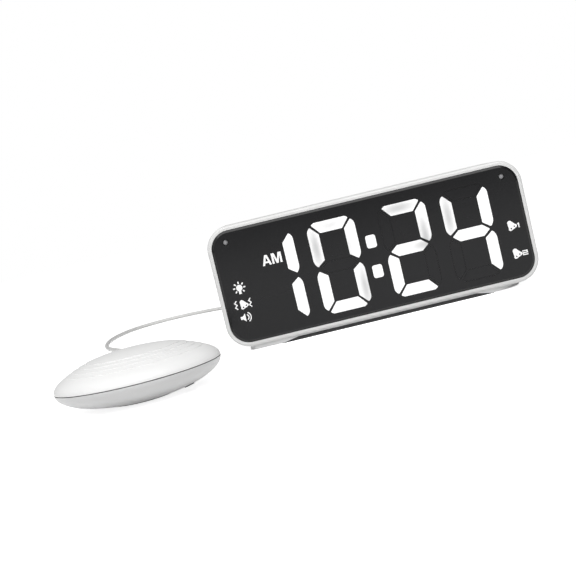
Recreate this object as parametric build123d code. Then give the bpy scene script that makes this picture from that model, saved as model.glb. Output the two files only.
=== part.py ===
from build123d import *
import math
import os

# Bed shaker alarm clock: a wide digital clock in a white case, and a vibrating puck that goes
# under a pillow, joined by a thin cord.
# Millimetres. The origin is on the table under the middle of the clock. X points right as the
# clock is seen from its front, Y points to its back and Z points up.

os.makedirs("parts", exist_ok=True)

# Clearances and the overrun of cuts
fit_gap = 0.1
body_gap = 0.3
shaft_gap = 0.05
press_gap = 0.01
cut_over = 1.0

# Case
case_width = 183.9
case_height = 70.6
case_depth = 45.7
case_corner_radius = 13.5
case_lift = 2.5
case_wall = 2.2
front_rounding = 1.8
back_rounding = 5.0
bezel_depth = 13.0
rim_width = 2.6
ledge_width = 2.4
ledge_thickness = 1.6
seam_chamfer = 0.3
lip_depth = 2.0
lip_thickness = 1.2
lip_root = 0.6

# Display panel
panel_thickness = 2.0
panel_proud = 0.3
panel_chamfer_width = 1.3
panel_chamfer_drop = 0.55

# Digits: all bars sit in one cell, measured from its middle
digit_row_inset = 21.35
digit_margin = 8.85
digit_gap = 8.5
colon_room = 13.8
digit_drop = 1.25
digit_row_shift = 0.2
stroke_width = 6.35
bar_corner = 0.45
bar_recess = 0.05
level_tip_inset = 3.0
level_tip_drop = 1.1
level_flat_inset = 4.8
level_inner_inset = 7.5
upright_tip_inset = 2.0
upright_tip_drop = 2.25
upright_top_curve = 3.6
upright_inner_drop = 6.9
upright_foot = 1.35
upright_foot_curve = 4.4
upright_inner_foot = 4.55
middle_tip_inset = 2.95
middle_flat_inset = 6.9
colon_width = 5.7
colon_height = 7.3
colon_corner = 1.3
colon_spread = 8.7

# Signs on the panel, placed from its edges and from the level of its middle
letter_height = 6.0
letter_base = 8.0
letter_bar_gap = 5.15
letter_pitch = 5.95
letter_a_shares = [(-0.44, 0), (-0.12, 1), (0.12, 1), (0.44, 0), (0.235, 0), (0.175, 0.21),
                   (-0.175, 0.21), (-0.235, 0)]
letter_a_hole_shares = [(-0.12, 0.37), (0.12, 0.37), (0, 0.8)]
letter_m_shares = [(-0.48, 0), (-0.48, 1), (-0.19, 1), (0, 0.32), (0.19, 1), (0.48, 1),
                   (0.48, 0), (0.29, 0), (0.29, 0.74), (0.095, 0), (-0.095, 0), (-0.29, 0.74),
                   (-0.29, 0)]
sign_depth = 0.3
sign_gap = 0.05
sign_line = 0.6
left_sign_inset = 12.95
lamp_drop = 0.8
lamp_radius = 1.8
ray_width = 0.75
lamp_stem_width = 1.4
lamp_stem_drop = 3.6
ray_start = 2.35
ray_end = 3.6
ray_angles = [-45, 0, 45, 90, 135, 180, 225]
bell_shares = [(-0.47, -0.32), (-0.38, -0.1), (-0.29, 0.18), (-0.21, 0.4), (-0.09, 0.5),
               (0.09, 0.5), (0.21, 0.4), (0.29, 0.18), (0.38, -0.1), (0.47, -0.32)]
bell_mouth_drop_share = 0.32
bell_mouth_shares = (0.98, 0.38)
bell_hole_share = 0.085
bell_hole_spread_share = 0.2
buzz_bell_height = 5.0
buzz_bell_drop = 10.3
buzz_bell_tilt = 25.0
wave_shift = 4.1
wave_shares = [(0.12, 0.5), (-0.12, 0.25), (0.12, 0), (-0.12, -0.25), (0.12, -0.5)]
wave_height = 5.0
horn_inset = 12.35
horn_drop = 18.1
horn_height = 4.8
horn_shares = [(-0.55, -0.18), (-0.55, 0.18), (-0.26, 0.18), (0.06, 0.5), (0.06, -0.5),
               (-0.26, -0.18)]
horn_arc_radii = [1.6, 2.9]
horn_arc_shift = 0.5
horn_arc_half_angle = 62.0
bell_height = 5.4
bell_insets = [11.95, 12.35]
bell_drops = [2.1, 18.3]
bell_tilt = 25.0
numeral_height = 2.8
numeral_insets = [7.65, 7.4]
numeral_drops = [4.4, 20.6]
numeral_one_shares = [(-0.1, 0), (-0.1, 0.72), (-0.3, 0.6), (-0.3, 0.78), (-0.02, 1),
                      (0.12, 1), (0.12, 0)]
numeral_two_shares = [(-0.55, 1), (0.55, 1), (0.55, 0.39), (-0.33, 0.39), (-0.33, 0.22),
                      (0.55, 0.22), (0.55, 0), (-0.55, 0), (-0.55, 0.61), (0.33, 0.61),
                      (0.33, 0.78), (-0.55, 0.78)]

# Flash lamps in the panel's upper corners
flash_radius = 1.6
flash_inset = 11.35
flash_drop = 9.2
flash_dome = 1.2

# Light guide and LED board
guide_depth = 6.5
guide_gap = 0.35
guide_flange = 1.5
well_margin = 0.9
sign_well = 5.0
led_board_thickness = 1.6
led_length = 2.8
led_width = 1.4
led_height = 0.8
guide_boss_radius = 2.5
guide_boss_reach = 6.65
boss_left_inset = 22.45
boss_right_inset = 18.05
boss_end_inset = 13.3

# Screw tubes and screws of the case
tube_radius = 3.3
tube_floor = 2.5
well_radius = 2.6
case_screw_radius = 1.25
case_screw_head_radius = 2.3
case_screw_head = 1.8
case_screw_length = 10.0
case_screw_pilot = 11.0

# Cross recess in every screw head, as shares of the head's radius and height
recess_span_share = 1.15
recess_width_share = 0.3
recess_depth_share = 0.55

# Plinth and its rubber pad
plinth_side_set_back = 10.95
plinth_front_set_back = 1.4
plinth_back_set_back = 5.8
plinth_lift = 0.3
plinth_left_corner_share = 0.156
plinth_right_corner_share = 0.52
plinth_back_corner_share = 0.312
pad_height = 2.0
pad_side_set_back = 18.25
pad_taper = 10.25
pad_back_set_back = 3.5
plinth_screw_inset = 9.0
plinth_screw_radius = 1.0
plinth_screw_head_radius = 1.9
plinth_screw_head = 0.9
plinth_screw_length = 3.2

# Main board, which stands upright behind the back wall's posts
board_speaker_gap = 5.0
board_right_inset = 23.95
board_rise = 6.5
board_drop = 8.1
board_thickness = 1.6
board_stand_off = 8.6
post_radius = 2.5
post_pilot = 6.0
post_inset = 3.0
post_corner_inset = 4.0
post_button_drop = 13.0
board_screw_radius = 1.1
board_screw_head_radius = 2.1
board_screw_head = 1.4
board_screw_length = 7.0

# Places on the main board, as shares of its width and height
board_shares = {
    "controller": (0.3023, 0.4464),
    "display_driver": (0.5116, 0.6607),
    "amplifier": (0.1047, 0.3036),
    "crystal": (0.3023, 0.2411),
    "regulator": (0.814, 0.2321),
    "capacitors": (0.907, 0.5),
    "ribbon": (0.60465, 0.33929),
    "mode_slide": (0.13953, 0.60714),
    "dimmer_slide": (0.40698, 0.60714),
    "volume": (0.26744, 0.28571),
}

# Width, height and thickness of the parts on the board's inner face
chip_sizes = {
    "controller": (10.0, 10.0, 1.6),
    "display_driver": (13.0, 6.0, 1.5),
    "amplifier": (6.0, 5.0, 1.5),
    "crystal": (8.0, 3.2, 3.0),
    "regulator": (9.0, 7.0, 2.3),
}
capacitor_radius = 3.1
capacitor_length = 7.5
capacitor_pitch = 8.0

# Display ribbon and its sockets
ribbon_width = 20.0
ribbon_thickness = 0.5
socket_width = 24.0
socket_height = 4.2
socket_depth = 3.0

# Loudspeaker in the back wall
speaker_shift = 42.0
speaker_rise = 0.2
speaker_radius = 19.0
speaker_rim = 2.6
speaker_rim_thickness = 1.5
speaker_depth = 9.5
speaker_neck_radius = 9.0
speaker_sheet = 0.9
speaker_ring_wall = 1.2
speaker_ring_depth = 3.0
cone_throat_radius = 4.6
cone_depth = 4.6
cone_sheet = 0.5
magnet_radius = 10.5
magnet_depth = 6.0
grille_radius = 15.5
grille_slot_width = 1.6
grille_pitch = 3.4

# Snooze button in the top and its switch
snooze_length = 56.0
snooze_least_width = 5.6
snooze_room_share = 0.5
snooze_recess = 0.2
snooze_flange = 2.0
snooze_flange_thickness = 1.2
snooze_travel = 0.8
snooze_edge = 0.4
stem_radius = 1.7
snooze_switch_size = 7.0
snooze_switch_rise = 2.0
snooze_switch_height = 6.0
switch_well_depth = 1.8
stem_entry = 1.2

# Set buttons in the back, left to right as seen from the front
set_button_names = ["time", "alarm_one", "alarm_two", "minus", "plus", "lamp"]
set_button_left_inset = 6.0
set_button_right_inset = 18.0
set_button_drop = 13.1
set_button_radius = 3.4
set_button_proud = 1.2
set_button_flange = 1.0
set_button_flange_thickness = 1.0
set_button_edge = 0.5
set_button_travel = 0.5
set_switch_size = 6.0
set_switch_depth = 3.9

# Slide switches in the back
slide_body_width = 12.0
slide_body_height = 5.0
slide_body_depth = 4.9
slide_stem_width = 3.0
slide_stem_height = 2.4
slide_travel = 2.0
slide_proud = 1.3
slide_slot_depth = 2.0
slide_shade_width = 12.4
slide_shade_height = 5.0
slide_shade_thickness = 0.8
slide_edge = 0.4

# Volume knob in the back
volume_body_size = 12.0
volume_body_depth = 6.4
volume_shaft_radius = 2.0
volume_shaft_entry = 2.0
knob_radius = 6.8
knob_height = 6.2
knob_skin = 1.4
knob_grooves = 24
knob_groove_radius = 0.45
knob_edge = 0.6
knob_mark_width = 0.9
knob_mark_depth = 0.5

# Sockets in the back: power inlet and shaker jack
socket_rise = 6.0
shaker_place_x = 20.0
socket_pitch = 13.0
socket_body_width = 10.0
socket_body_height = 11.0
socket_nose_radius = 3.9
socket_nose_recess = 0.2
power_bore_radius = 2.85
power_bore_depth = 9.0
power_pin_radius = 1.0
power_pin_length = 8.2
shaker_bore_radius = 1.85
shaker_bore_depth = 9.6
shaker_pin_radius = 0.55
shaker_pin_length = 8.6

# Backup cell under a turn cap in the back
cell_inset = 17.5
cell_drop = 20.0
cell_radius = 10.0
cell_thickness = 3.2
cap_radius = 12.0
cap_thickness = 2.5
cap_skirt = 1.4
cap_skirt_depth = 1.5
cap_press_radius = 7.0
lug_reach = 1.4
lug_width = 4.0
lug_thickness = 1.0
lug_room = 0.3
cup_wall = 2.5
cup_depth = 7.4
cup_floor = 0.8
cap_slot_length = 14.0
cap_slot_width = 1.9
cap_slot_depth = 1.0
cap_turn = 45.0
contact_rim_radius = 9.0
contact_tip_radius = 3.0
contact_sheet = 0.4

# Shaker plug and its lead
plug_barrel_radius = 1.75
plug_barrel_bore = 0.75
plug_barrel_length = 9.0
plug_grip_radius = 4.3
plug_grip_length = 15.0
plug_neck_radius = 3.1
plug_relief_length = 14.0
plug_relief_end_radius = 1.9
plug_groove = 0.8
plug_groove_count = 4

# Shaker puck
puck_x = -135.0
puck_y = -109.1
puck_radius = 42.5
puck_seam_height = 12.4
puck_top_rise = 13.5
puck_crown_radius = 3.0
puck_low_rise = 12.9
puck_lift = 0.6
puck_wall = 2.0
puck_floor = 2.0
terrace_step = 0.4
terrace_radius_shares = [0.82, 0.74, 0.65, 0.56]
puck_seam_gap = 0.4
puck_seam_depth = 1.1
puck_lip_rise = 2.0
puck_lip_thickness = 1.2
foot_ring_outer = 16.4
foot_ring_inner = 12.0
foot_ring_seat = 1.0
puck_screw_share = 0.67
puck_screw_angles = (-28.0, 152.0)
puck_well_radius = 2.6
puck_boss_radius = 4.2
puck_top_boss_radius = 3.4
puck_boss_top = 9.0
puck_head_seat = 5.5
puck_screw_radius = 1.2
puck_screw_head_radius = 2.2
puck_screw_head = 1.5
puck_screw_length = 10.0
puck_plug_gap = 0.05
puck_plug_proud = 0.4

# Motor in the puck, lying along X
motor_radius = 8.0
motor_head = -8.0
motor_tail = 15.0
motor_end_cap_length = 2.0
motor_end_cap_inset = 0.3
motor_nose_radius = 3.0
motor_nose_length = 1.5
motor_shaft_radius = 1.0
motor_shaft_entry = 3.5
motor_shaft_reach = 11.0
weight_radius = 7.0
weight_hub_radius = 2.4
weight_length = 7.0
weight_stand_off = 0.6
weight_edge = 0.4
cradle_left = -5.0
cradle_right = 13.0
cradle_half_width = 10.2
strap_width = 8.0
strap_thickness = 1.2
strap_foot_thickness = 1.0
lead_radius = 0.6
lead_spread = 2.4

# Cord boot in the puck's parting line
boot_flange_radius = 3.4
boot_flange = 1.4
boot_flange_set_back = 6.3
boot_neck_radius = 2.3
boot_collar_radius = 3.0
boot_length = 15.7
boot_end_radius = 1.9
boot_groove = 0.7
boot_groove_count = 4

# Cord: one thin round lead from the puck to the plug
cord_radius = 1.5
coil_outer_radius = 25.0
coil_pitch = 3.45
coil_half_turns_in = 8
coil_place_y = 110.0
cord_straight_end = 3.0
tie_gap = 0.15
tie_thickness = 0.65
tie_width = 4.0
run_share = 0.45

# Places worked out from the sizes above
case_front_y = -case_depth / 2
case_back_y = case_depth / 2
case_top_z = case_lift + case_height
bezel_back_y = case_front_y + bezel_depth
panel_front_y = case_front_y - panel_proud
panel_back_y = panel_front_y + panel_thickness
panel_z = case_lift + case_height / 2
case_side = case_width / 2
ledge_back_y = panel_back_y + ledge_thickness
guide_back_y = panel_back_y + guide_depth
led_board_back_y = guide_back_y + led_board_thickness
guide_boss_end_y = guide_back_y + guide_boss_reach
back_wall_y = case_back_y - case_wall
board_back_y = back_wall_y - board_stand_off
board_front_y = board_back_y - board_thickness
plinth_front_y = case_front_y + plinth_front_set_back
plinth_width = case_width - 2 * plinth_side_set_back
plinth_depth = case_depth - plinth_front_set_back - plinth_back_set_back
plinth_back_y = plinth_front_y + plinth_depth
plinth_screw_place = plinth_width / 2 - plinth_screw_inset
pad_bottom_width = plinth_width - 2 * pad_side_set_back
pad_top_width = pad_bottom_width - 2 * pad_taper
pad_depth = plinth_depth - pad_back_set_back
bar_front_y = panel_front_y + bar_recess
socket_nose_y = case_back_y - socket_nose_recess
snooze_y = board_front_y - snooze_switch_size / 2
snooze_room = snooze_y - bezel_back_y - lip_depth
snooze_width = snooze_least_width + snooze_room_share * snooze_room
digit_width = (case_width - 2 * digit_row_inset - colon_room - 2 * digit_gap) / 4
digit_height = case_height - 2 * digit_margin
digit_pitch = digit_width + digit_gap
pair_shift = (colon_room + digit_gap) / 2 + digit_width
half_digit_width = digit_width / 2
half_digit_height = digit_height / 2
hour_tens_x = digit_row_shift - pair_shift - digit_pitch / 2
letter_m_place = hour_tens_x + half_digit_width - stroke_width - letter_bar_gap
letter_a_place = letter_m_place - letter_pitch
lamp_place = (left_sign_inset - case_side, -lamp_drop)
buzz_bell_place = (left_sign_inset - case_side, -buzz_bell_drop)
horn_place = (horn_inset - case_side, -horn_drop)
bell_places = [(case_side - inset, -drop) for inset, drop in zip(bell_insets, bell_drops)]
numeral_places = [(case_side - inset, -drop) for inset, drop in zip(numeral_insets, numeral_drops)]
boss_columns = (boss_left_inset - case_side, case_side - boss_right_inset)
boss_spread = case_height / 2 - boss_end_inset
boss_places = [(x, panel_z + side * boss_spread) for x in boss_columns for side in (-1, 1)]
speaker_place = (-speaker_shift, panel_z + speaker_rise)
board_left = speaker_place[0] + speaker_radius + board_speaker_gap
board_right = case_side - board_right_inset
board_bottom = case_lift + board_rise
board_top = case_top_z - board_drop
board_width = board_right - board_left
board_height = board_top - board_bottom
board_places = {name: (board_left + share_x * board_width, board_bottom + share_z * board_height)
                for name, (share_x, share_z) in board_shares.items()}
ribbon_place = board_places["ribbon"]
mode_slide_place = board_places["mode_slide"]
dimmer_slide_place = board_places["dimmer_slide"]
volume_place = board_places["volume"]
post_places = [
    (board_left + post_inset, board_bottom + post_inset),
    (board_right - post_inset, board_bottom + post_inset),
    (board_left + post_inset, board_top - post_button_drop),
    (board_right - post_corner_inset, board_top - post_corner_inset),
]
set_button_z = case_top_z - set_button_drop
set_button_first = board_left + set_button_left_inset
set_button_row = board_right - set_button_right_inset - set_button_first
set_button_pitch = set_button_row / (len(set_button_names) - 1)
cell_place = (board_right - cell_inset, set_button_z - cell_drop)
socket_height_z = board_bottom + socket_rise
power_place_x = shaker_place_x + socket_pitch
terrace_base_rise = puck_top_rise - terrace_step * len(terrace_radius_shares)
puck_top_seat_z = puck_seam_height + puck_seam_gap / 2
puck_low_seat_z = puck_seam_height - puck_seam_gap / 2
puck_floor_z = puck_lift + puck_floor
motor_place = Pos(puck_x, puck_y, puck_seam_height)
plug_front_y = case_back_y + body_gap
plug_back_y = plug_front_y + plug_grip_length + plug_relief_length
boot_start_y = puck_y + puck_radius + body_gap
boot_end_y = boot_start_y + boot_length
coil_low_z = tie_thickness + tie_gap + cord_radius
coil_high_z = coil_low_z + coil_pitch
coil_start_x = shaker_place_x
coil_start_y = coil_place_y + cord_straight_end

# What each digit shows: its place, its bars and which of them are lit
digit_table = {
    "hour_tens": (hour_tens_x, "bc", "bc"),
    "hour_units": (hour_tens_x + digit_pitch, "abcdefg", "abcdef"),
    "minute_tens": (hour_tens_x + 2 * pair_shift, "abcdefg", "abdeg"),
    "minute_units": (hour_tens_x + 2 * pair_shift + digit_pitch, "abcdefg", "bcfg"),
}

# The motor leads' route, from the motor's end cap to the boot's flange, about the puck's middle
motor_lead_shares = [(0.518, 0), (0.635, 0.071), (0.682, 0.212), (0.624, 0.365), (0.494, 0.494),
                     (0.318, 0.588), (0.118, 0.659), (0, 0.753)]
motor_lead_route = [(motor_tail + motor_end_cap_length, 0)]
motor_lead_route += [(x * puck_radius, y * puck_radius) for x, y in motor_lead_shares]
motor_lead_route.append((0, puck_radius + body_gap - boot_flange_set_back))

# The free cord's route on the table, from the boot to the coil
cord_route = [
    (puck_x, boot_end_y, puck_seam_height),
    (puck_x, -40.0, puck_seam_height),
    (-134.6, -27.0, 9.2),
    (-134.9, -11.0, 3.6),
    (-136.9, 8.0, 1.5),
    (-139.4, 30.0, 1.5),
    (-146.5, 70.0, 1.5),
    (-160.0, 114.0, 1.5),
    (-179.5, 157.0, 1.5),
    (-196.0, 200.0, 1.5),
    (-202.5, 244.0, 1.5),
    (-202.5, 290.0, 1.5),
    (-191.0, 334.0, 1.5),
    (-162.0, 352.0, 1.5),
    (-130.0, 345.0, 1.5),
    (-98.0, 319.0, 1.5),
    (-66.0, 288.0, 1.5),
    (-36.0, 254.0, 1.5),
    (-10.0, 217.0, 1.5),
    (8.0, 182.0, 1.5),
    (18.0, 150.0, 1.8),
    (coil_start_x, 128.0, coil_low_z),
    (coil_start_x, coil_start_y, coil_low_z),
]

# The short lead from the coil's upper layer to the plug
lead_route = [
    (coil_start_x, coil_place_y - cord_straight_end, coil_high_z),
    (coil_start_x, 100.0, coil_high_z),
    (20.8, 90.0, 7.2),
    (20.4, 79.5, 10.4),
    (19.7, 69.0, 13.6),
    (shaker_place_x, 60.0, socket_height_z),
    (shaker_place_x, plug_back_y, socket_height_z),
]


def front_slab(outline, front_y, back_y):
    """Solid between two depths, from an outline drawn as seen from the front."""
    view = Plane(origin=(0, front_y, 0), x_dir=(1, 0, 0), z_dir=(0, -1, 0))
    return extrude(view * outline, amount=back_y - front_y, dir=(0, 1, 0))


def rod(radius, place, front_y, back_y):
    """Round bar along Y at a place given as x and z."""
    return front_slab(Pos(place[0], place[1]) * Circle(radius), front_y, back_y)


def block(width, height, place, front_y, back_y):
    """Square bar along Y at a place given as x and z."""
    return front_slab(Pos(place[0], place[1]) * Rectangle(width, height), front_y, back_y)


def upright(radius, place, low_z, high_z):
    """Round bar along Z at a place given as x and y."""
    disc = Pos(place[0], place[1], low_z) * Circle(radius)
    return extrude(disc, amount=high_z - low_z, dir=(0, 0, 1))


def cross_outline(head_radius):
    """Cross recess of a screw head of a given radius."""
    span = recess_span_share * head_radius
    width = recess_width_share * head_radius
    return Rectangle(span, width) + Rectangle(width, span)


def case_outline(inset):
    """The case seen from the front, drawn in by an inset."""
    outline = RectangleRounded(case_width - 2 * inset, case_height - 2 * inset,
                               case_corner_radius - inset)
    return Pos(0, panel_z) * outline


def scaled_outline(shares, size):
    """Flat outline from shares of one size."""
    corners = [(x * size, y * size) for x, y in shares]
    return make_face(Polyline(*corners, close=True))


def turned_solid(points):
    """Solid turned about Y from an outline of radius and depth."""
    outline = make_face(Polyline(*points, close=True))
    return revolve(outline, axis=Axis.Y)


def rounded(outline, corners, radius):
    """Outline with chosen corners rounded, or sharp where the radius is zero."""
    return fillet(corners, radius) if radius else outline


def level_bar(corner_radius):
    """Top bar of a digit, about the digit's middle."""
    inner_z = half_digit_height - stroke_width
    half = [
        (half_digit_width - level_inner_inset, inner_z),
        (half_digit_width - level_tip_inset, half_digit_height - level_tip_drop),
        (half_digit_width - level_flat_inset, half_digit_height),
    ]
    mirrored = [(-x, z) for x, z in reversed(half)]
    bar = make_face(Polyline(*half, *mirrored, close=True))
    return rounded(bar, bar.vertices(), corner_radius)


def middle_bar(corner_radius):
    """Middle bar of a digit, pointed at both ends."""
    tip = half_digit_width - middle_tip_inset
    flat = half_digit_width - middle_flat_inset
    half_stroke = stroke_width / 2
    corners = [(flat, -half_stroke), (tip, 0), (flat, half_stroke),
               (-flat, half_stroke), (-tip, 0), (-flat, -half_stroke)]
    bar = make_face(Polyline(*corners, close=True))
    return rounded(bar, bar.vertices(), corner_radius)


def upright_bar(corner_radius):
    """Upper right bar of a digit: mitred inside, rounded in at both ends outside."""
    outer = half_digit_width
    inner = half_digit_width - stroke_width
    tip = half_digit_width - upright_tip_inset
    top = half_digit_height - upright_tip_drop
    inner_top = half_digit_height - upright_inner_drop
    outer_top = top - upright_top_curve
    outer_foot = upright_foot + upright_foot_curve
    lines = [
        Line((inner, upright_inner_foot), (inner, inner_top)),
        Line((inner, inner_top), (tip, top)),
        TangentArc((outer, outer_top), (tip, top), tangent=(0, 1)),
        Line((outer, outer_top), (outer, outer_foot)),
        TangentArc((outer, outer_foot), (tip, upright_foot), tangent=(0, -1)),
        Line((tip, upright_foot), (inner, upright_inner_foot)),
    ]
    bar = make_face(Curve() + lines)
    corners = [corner for corner in bar.vertices() if corner.X < outer - bar_corner]
    return rounded(bar, corners, corner_radius)


def digit_bars(corner_radius):
    """The seven bars of a digit by letter, clockwise from the top, the middle one last."""
    half_turn = Rot(0, 0, 180)
    upper_right = upright_bar(corner_radius)
    lower_right = mirror(upper_right, about=Plane.XZ)
    top = level_bar(corner_radius)
    return {
        "a": top,
        "b": upper_right,
        "c": lower_right,
        "d": half_turn * top,
        "e": half_turn * upper_right,
        "f": half_turn * lower_right,
        "g": middle_bar(corner_radius),
    }


def placed_bars(x, letters, corner_radius=bar_corner):
    """Chosen bars of one digit at its place on the panel."""
    bars = digit_bars(corner_radius)
    return [Pos(x, panel_z - digit_drop) * bars[letter] for letter in letters]


def colon_outlines():
    """The two rounded dots between hours and minutes."""
    dot = RectangleRounded(colon_width, colon_height, colon_corner)
    middle_z = panel_z - digit_drop
    return [Pos(digit_row_shift, middle_z + side * colon_spread) * dot for side in (-1, 1)]


def letter_outlines():
    """The letters A and M."""
    base_z = panel_z + letter_base
    letter_a = scaled_outline(letter_a_shares, letter_height)
    letter_a -= scaled_outline(letter_a_hole_shares, letter_height)
    letter_m = scaled_outline(letter_m_shares, letter_height)
    return [Pos(letter_a_place, base_z) * letter_a, Pos(letter_m_place, base_z) * letter_m]


def lamp_sign():
    """Light bulb with rays."""
    bulb = Circle(lamp_radius) + Pos(0, -lamp_stem_drop / 2) * Rectangle(lamp_stem_width, lamp_stem_drop)
    sign = [bulb]
    middle = (ray_start + ray_end) / 2
    for angle in ray_angles:
        ray = Rectangle(ray_end - ray_start, ray_width)
        sign.append(Rot(0, 0, angle) * Pos(middle, 0) * ray)
    return [Pos(lamp_place[0], panel_z + lamp_place[1]) * piece for piece in sign]


def bell_sign(height, place, tilt):
    """Bell leaning by an angle, its clapper between two holes in the open mouth."""
    mouth_width, mouth_height = bell_mouth_shares
    mouth_z = -bell_mouth_drop_share * height
    bell = scaled_outline(bell_shares, height)
    bell += Pos(0, mouth_z) * SlotOverall(mouth_width * height, mouth_height * height)
    for side in (-1, 1):
        hole = Pos(side * bell_hole_spread_share * height, mouth_z) * Circle(bell_hole_share * height)
        bell -= hole
    return Pos(place[0], panel_z + place[1]) * Rot(0, 0, tilt) * bell


def wave_sign(side):
    """Zigzag line beside the vibrating bell."""
    points = [(x * wave_height, y * wave_height) for x, y in wave_shares]
    wave = trace(Polyline(*points), line_width=sign_line).faces()[0]
    return Pos(buzz_bell_place[0] + side * wave_shift, panel_z + buzz_bell_place[1]) * wave


def horn_sign():
    """Loudspeaker with two sound arcs."""
    place = Pos(horn_place[0], panel_z + horn_place[1])
    sign = [place * scaled_outline(horn_shares, horn_height)]
    for radius in horn_arc_radii:
        arc = CenterArc((0, 0), radius, -horn_arc_half_angle, 2 * horn_arc_half_angle)
        sign.append(place * Pos(horn_arc_shift, 0) * trace(arc, line_width=sign_line).faces()[0])
    return sign


def indicator_outlines():
    """All small signs of the panel."""
    signs = letter_outlines() + lamp_sign() + horn_sign()
    signs.append(bell_sign(buzz_bell_height, buzz_bell_place, buzz_bell_tilt))
    signs += [wave_sign(side) for side in (-1, 1)]
    signs += [bell_sign(bell_height, place, bell_tilt) for place in bell_places]
    numerals = (numeral_one_shares, numeral_two_shares)
    for shares, place in zip(numerals, numeral_places):
        numeral = scaled_outline(shares, numeral_height)
        signs.append(Pos(place[0], panel_z + place[1]) * numeral)
    return signs


def bar_outlines(corner_radius=bar_corner):
    """Every lit or unlit bar and the colon's dots."""
    outlines = colon_outlines()
    for x, letters, lit in digit_table.values():
        outlines += placed_bars(x, letters, corner_radius)
    return outlines


def flash_places():
    """Places of the two flash lamps."""
    return [(side * (case_side - flash_inset), case_top_z - flash_drop) for side in (-1, 1)]


def sign_well_places():
    """Places of the light wells behind the small signs and the letters."""
    letters_place = ((letter_a_place + letter_m_place) / 2, letter_base + letter_height / 2)
    places = [lamp_place, buzz_bell_place, horn_place, letters_place] + bell_places
    return [(x, panel_z + z) for x, z in places]


def group(solids):
    """Several separate solids as one shape."""
    return Compound(children=[piece for solid in solids for piece in solid.solids()])


def front_bezel():
    """Narrow white frame round the panel, with the ledge that the panel lies on."""
    body = front_slab(case_outline(0), case_front_y, bezel_back_y)
    body = fillet(body.faces().sort_by(Axis.Y)[0].edges(), front_rounding)
    body = chamfer(body.faces().sort_by(Axis.Y)[-1].edges(), seam_chamfer)
    body -= front_slab(case_outline(rim_width - fit_gap), case_front_y - cut_over, panel_back_y)
    body -= front_slab(case_outline(rim_width + ledge_width), panel_back_y - cut_over,
                       ledge_back_y + cut_over)
    body -= front_slab(case_outline(case_wall), ledge_back_y, bezel_back_y + cut_over)
    return body


def display_panel():
    """Black glossy plate with a polished chamfer and a window for every bar."""
    panel = front_slab(case_outline(rim_width), panel_front_y, panel_back_y)
    face = panel.faces().sort_by(Axis.Y)[0]
    panel = chamfer(face.edges(), panel_chamfer_width, panel_chamfer_drop, reference=face)
    windows = [offset(bar, amount=fit_gap) for bar in bar_outlines()]
    windows += [Pos(x, z) * Circle(flash_radius + fit_gap) for x, z in flash_places()]
    cuts = [front_slab(window, panel_front_y - cut_over, panel_back_y + cut_over)
            for window in windows]
    panel -= cuts
    recess_y = panel_front_y + sign_depth
    for sign in indicator_outlines():
        filled = make_face(sign.faces()[0].outer_wire())
        panel -= front_slab(offset(filled, amount=sign_gap), panel_front_y - cut_over, recess_y)
    return panel


def bars_of(name):
    """Lit bars of one digit."""
    x, letters, lit = digit_table[name]
    return group(front_slab(bar, bar_front_y, panel_back_y) for bar in placed_bars(x, lit))


def unlit_bars():
    """Dark bars of the digits that the shown time doesn't light."""
    bars = []
    for x, letters, lit in digit_table.values():
        dark = [letter for letter in letters if letter not in lit]
        bars += [front_slab(bar, bar_front_y, panel_back_y) for bar in placed_bars(x, dark)]
    return group(bars)


def colon_dots():
    """Two lit dots between hours and minutes."""
    return group(front_slab(dot, bar_front_y, panel_back_y) for dot in colon_outlines())


def indicator_signs():
    """Small lit signs, laid into the panel's front."""
    back_y = panel_front_y + sign_depth
    return group(front_slab(sign, bar_front_y, back_y) for sign in indicator_outlines())


def flash_lamp(place):
    """One round lamp that stands on the LED board and ends flush in the panel."""
    lamp = rod(flash_radius, place, bar_front_y, guide_back_y)
    return fillet(lamp.edges().sort_by(Axis.Y)[0], flash_dome)


def light_guide():
    """White frame behind the panel: a light well behind each bar and four screw bosses."""
    inset = rim_width + ledge_width + guide_gap
    guide = front_slab(case_outline(inset), panel_back_y, guide_back_y)
    guide += front_slab(case_outline(case_wall + guide_gap), ledge_back_y,
                        ledge_back_y + guide_flange)
    guide += [rod(guide_boss_radius, place, guide_back_y, guide_boss_end_y)
              for place in boss_places]
    wells = [offset(bar, amount=-well_margin) for bar in bar_outlines(0)]
    wells += [Pos(x, z) * Rectangle(sign_well, sign_well) for x, z in sign_well_places()]
    wells += [Pos(x, z) * Circle(flash_radius + body_gap) for x, z in flash_places()]
    cuts = [front_slab(well, panel_back_y - cut_over, guide_back_y + cut_over) for well in wells]
    cuts += [rod(case_screw_radius + shaft_gap, place, guide_boss_end_y - case_screw_pilot + tube_floor,
                 guide_boss_end_y + cut_over) for place in boss_places]
    return guide - cuts


def led_board():
    """Circuit board behind the light guide, with a hole for each screw boss."""
    inset = rim_width + ledge_width + guide_gap
    board = front_slab(case_outline(inset), guide_back_y, led_board_back_y)
    return board - [rod(guide_boss_radius + body_gap, place, guide_back_y - cut_over,
                        led_board_back_y + cut_over) for place in boss_places]


def display_leds():
    """One flat LED in each light well."""
    middles = [bar.bounding_box().center() for bar in bar_outlines()]
    places = [(middle.X, middle.Y) for middle in middles]
    places += sign_well_places()
    front_y = guide_back_y - led_height
    return group(block(led_length, led_width, place, front_y, guide_back_y) for place in places)


def grille_slots():
    """Upright slots over the loudspeaker, as long as a circle allows."""
    count = int(grille_radius / grille_pitch)
    slots = []
    for step in range(-count, count + 1):
        x = step * grille_pitch
        length = 2 * math.sqrt(grille_radius ** 2 - x ** 2)
        slot = Rot(0, 0, 90) * SlotOverall(length, grille_slot_width)
        slots.append(Pos(speaker_place[0] + x, speaker_place[1]) * slot)
    return slots


def set_button_places():
    """Places of the six set buttons."""
    return [(set_button_first + step * set_button_pitch, set_button_z)
            for step in range(len(set_button_names))]


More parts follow.
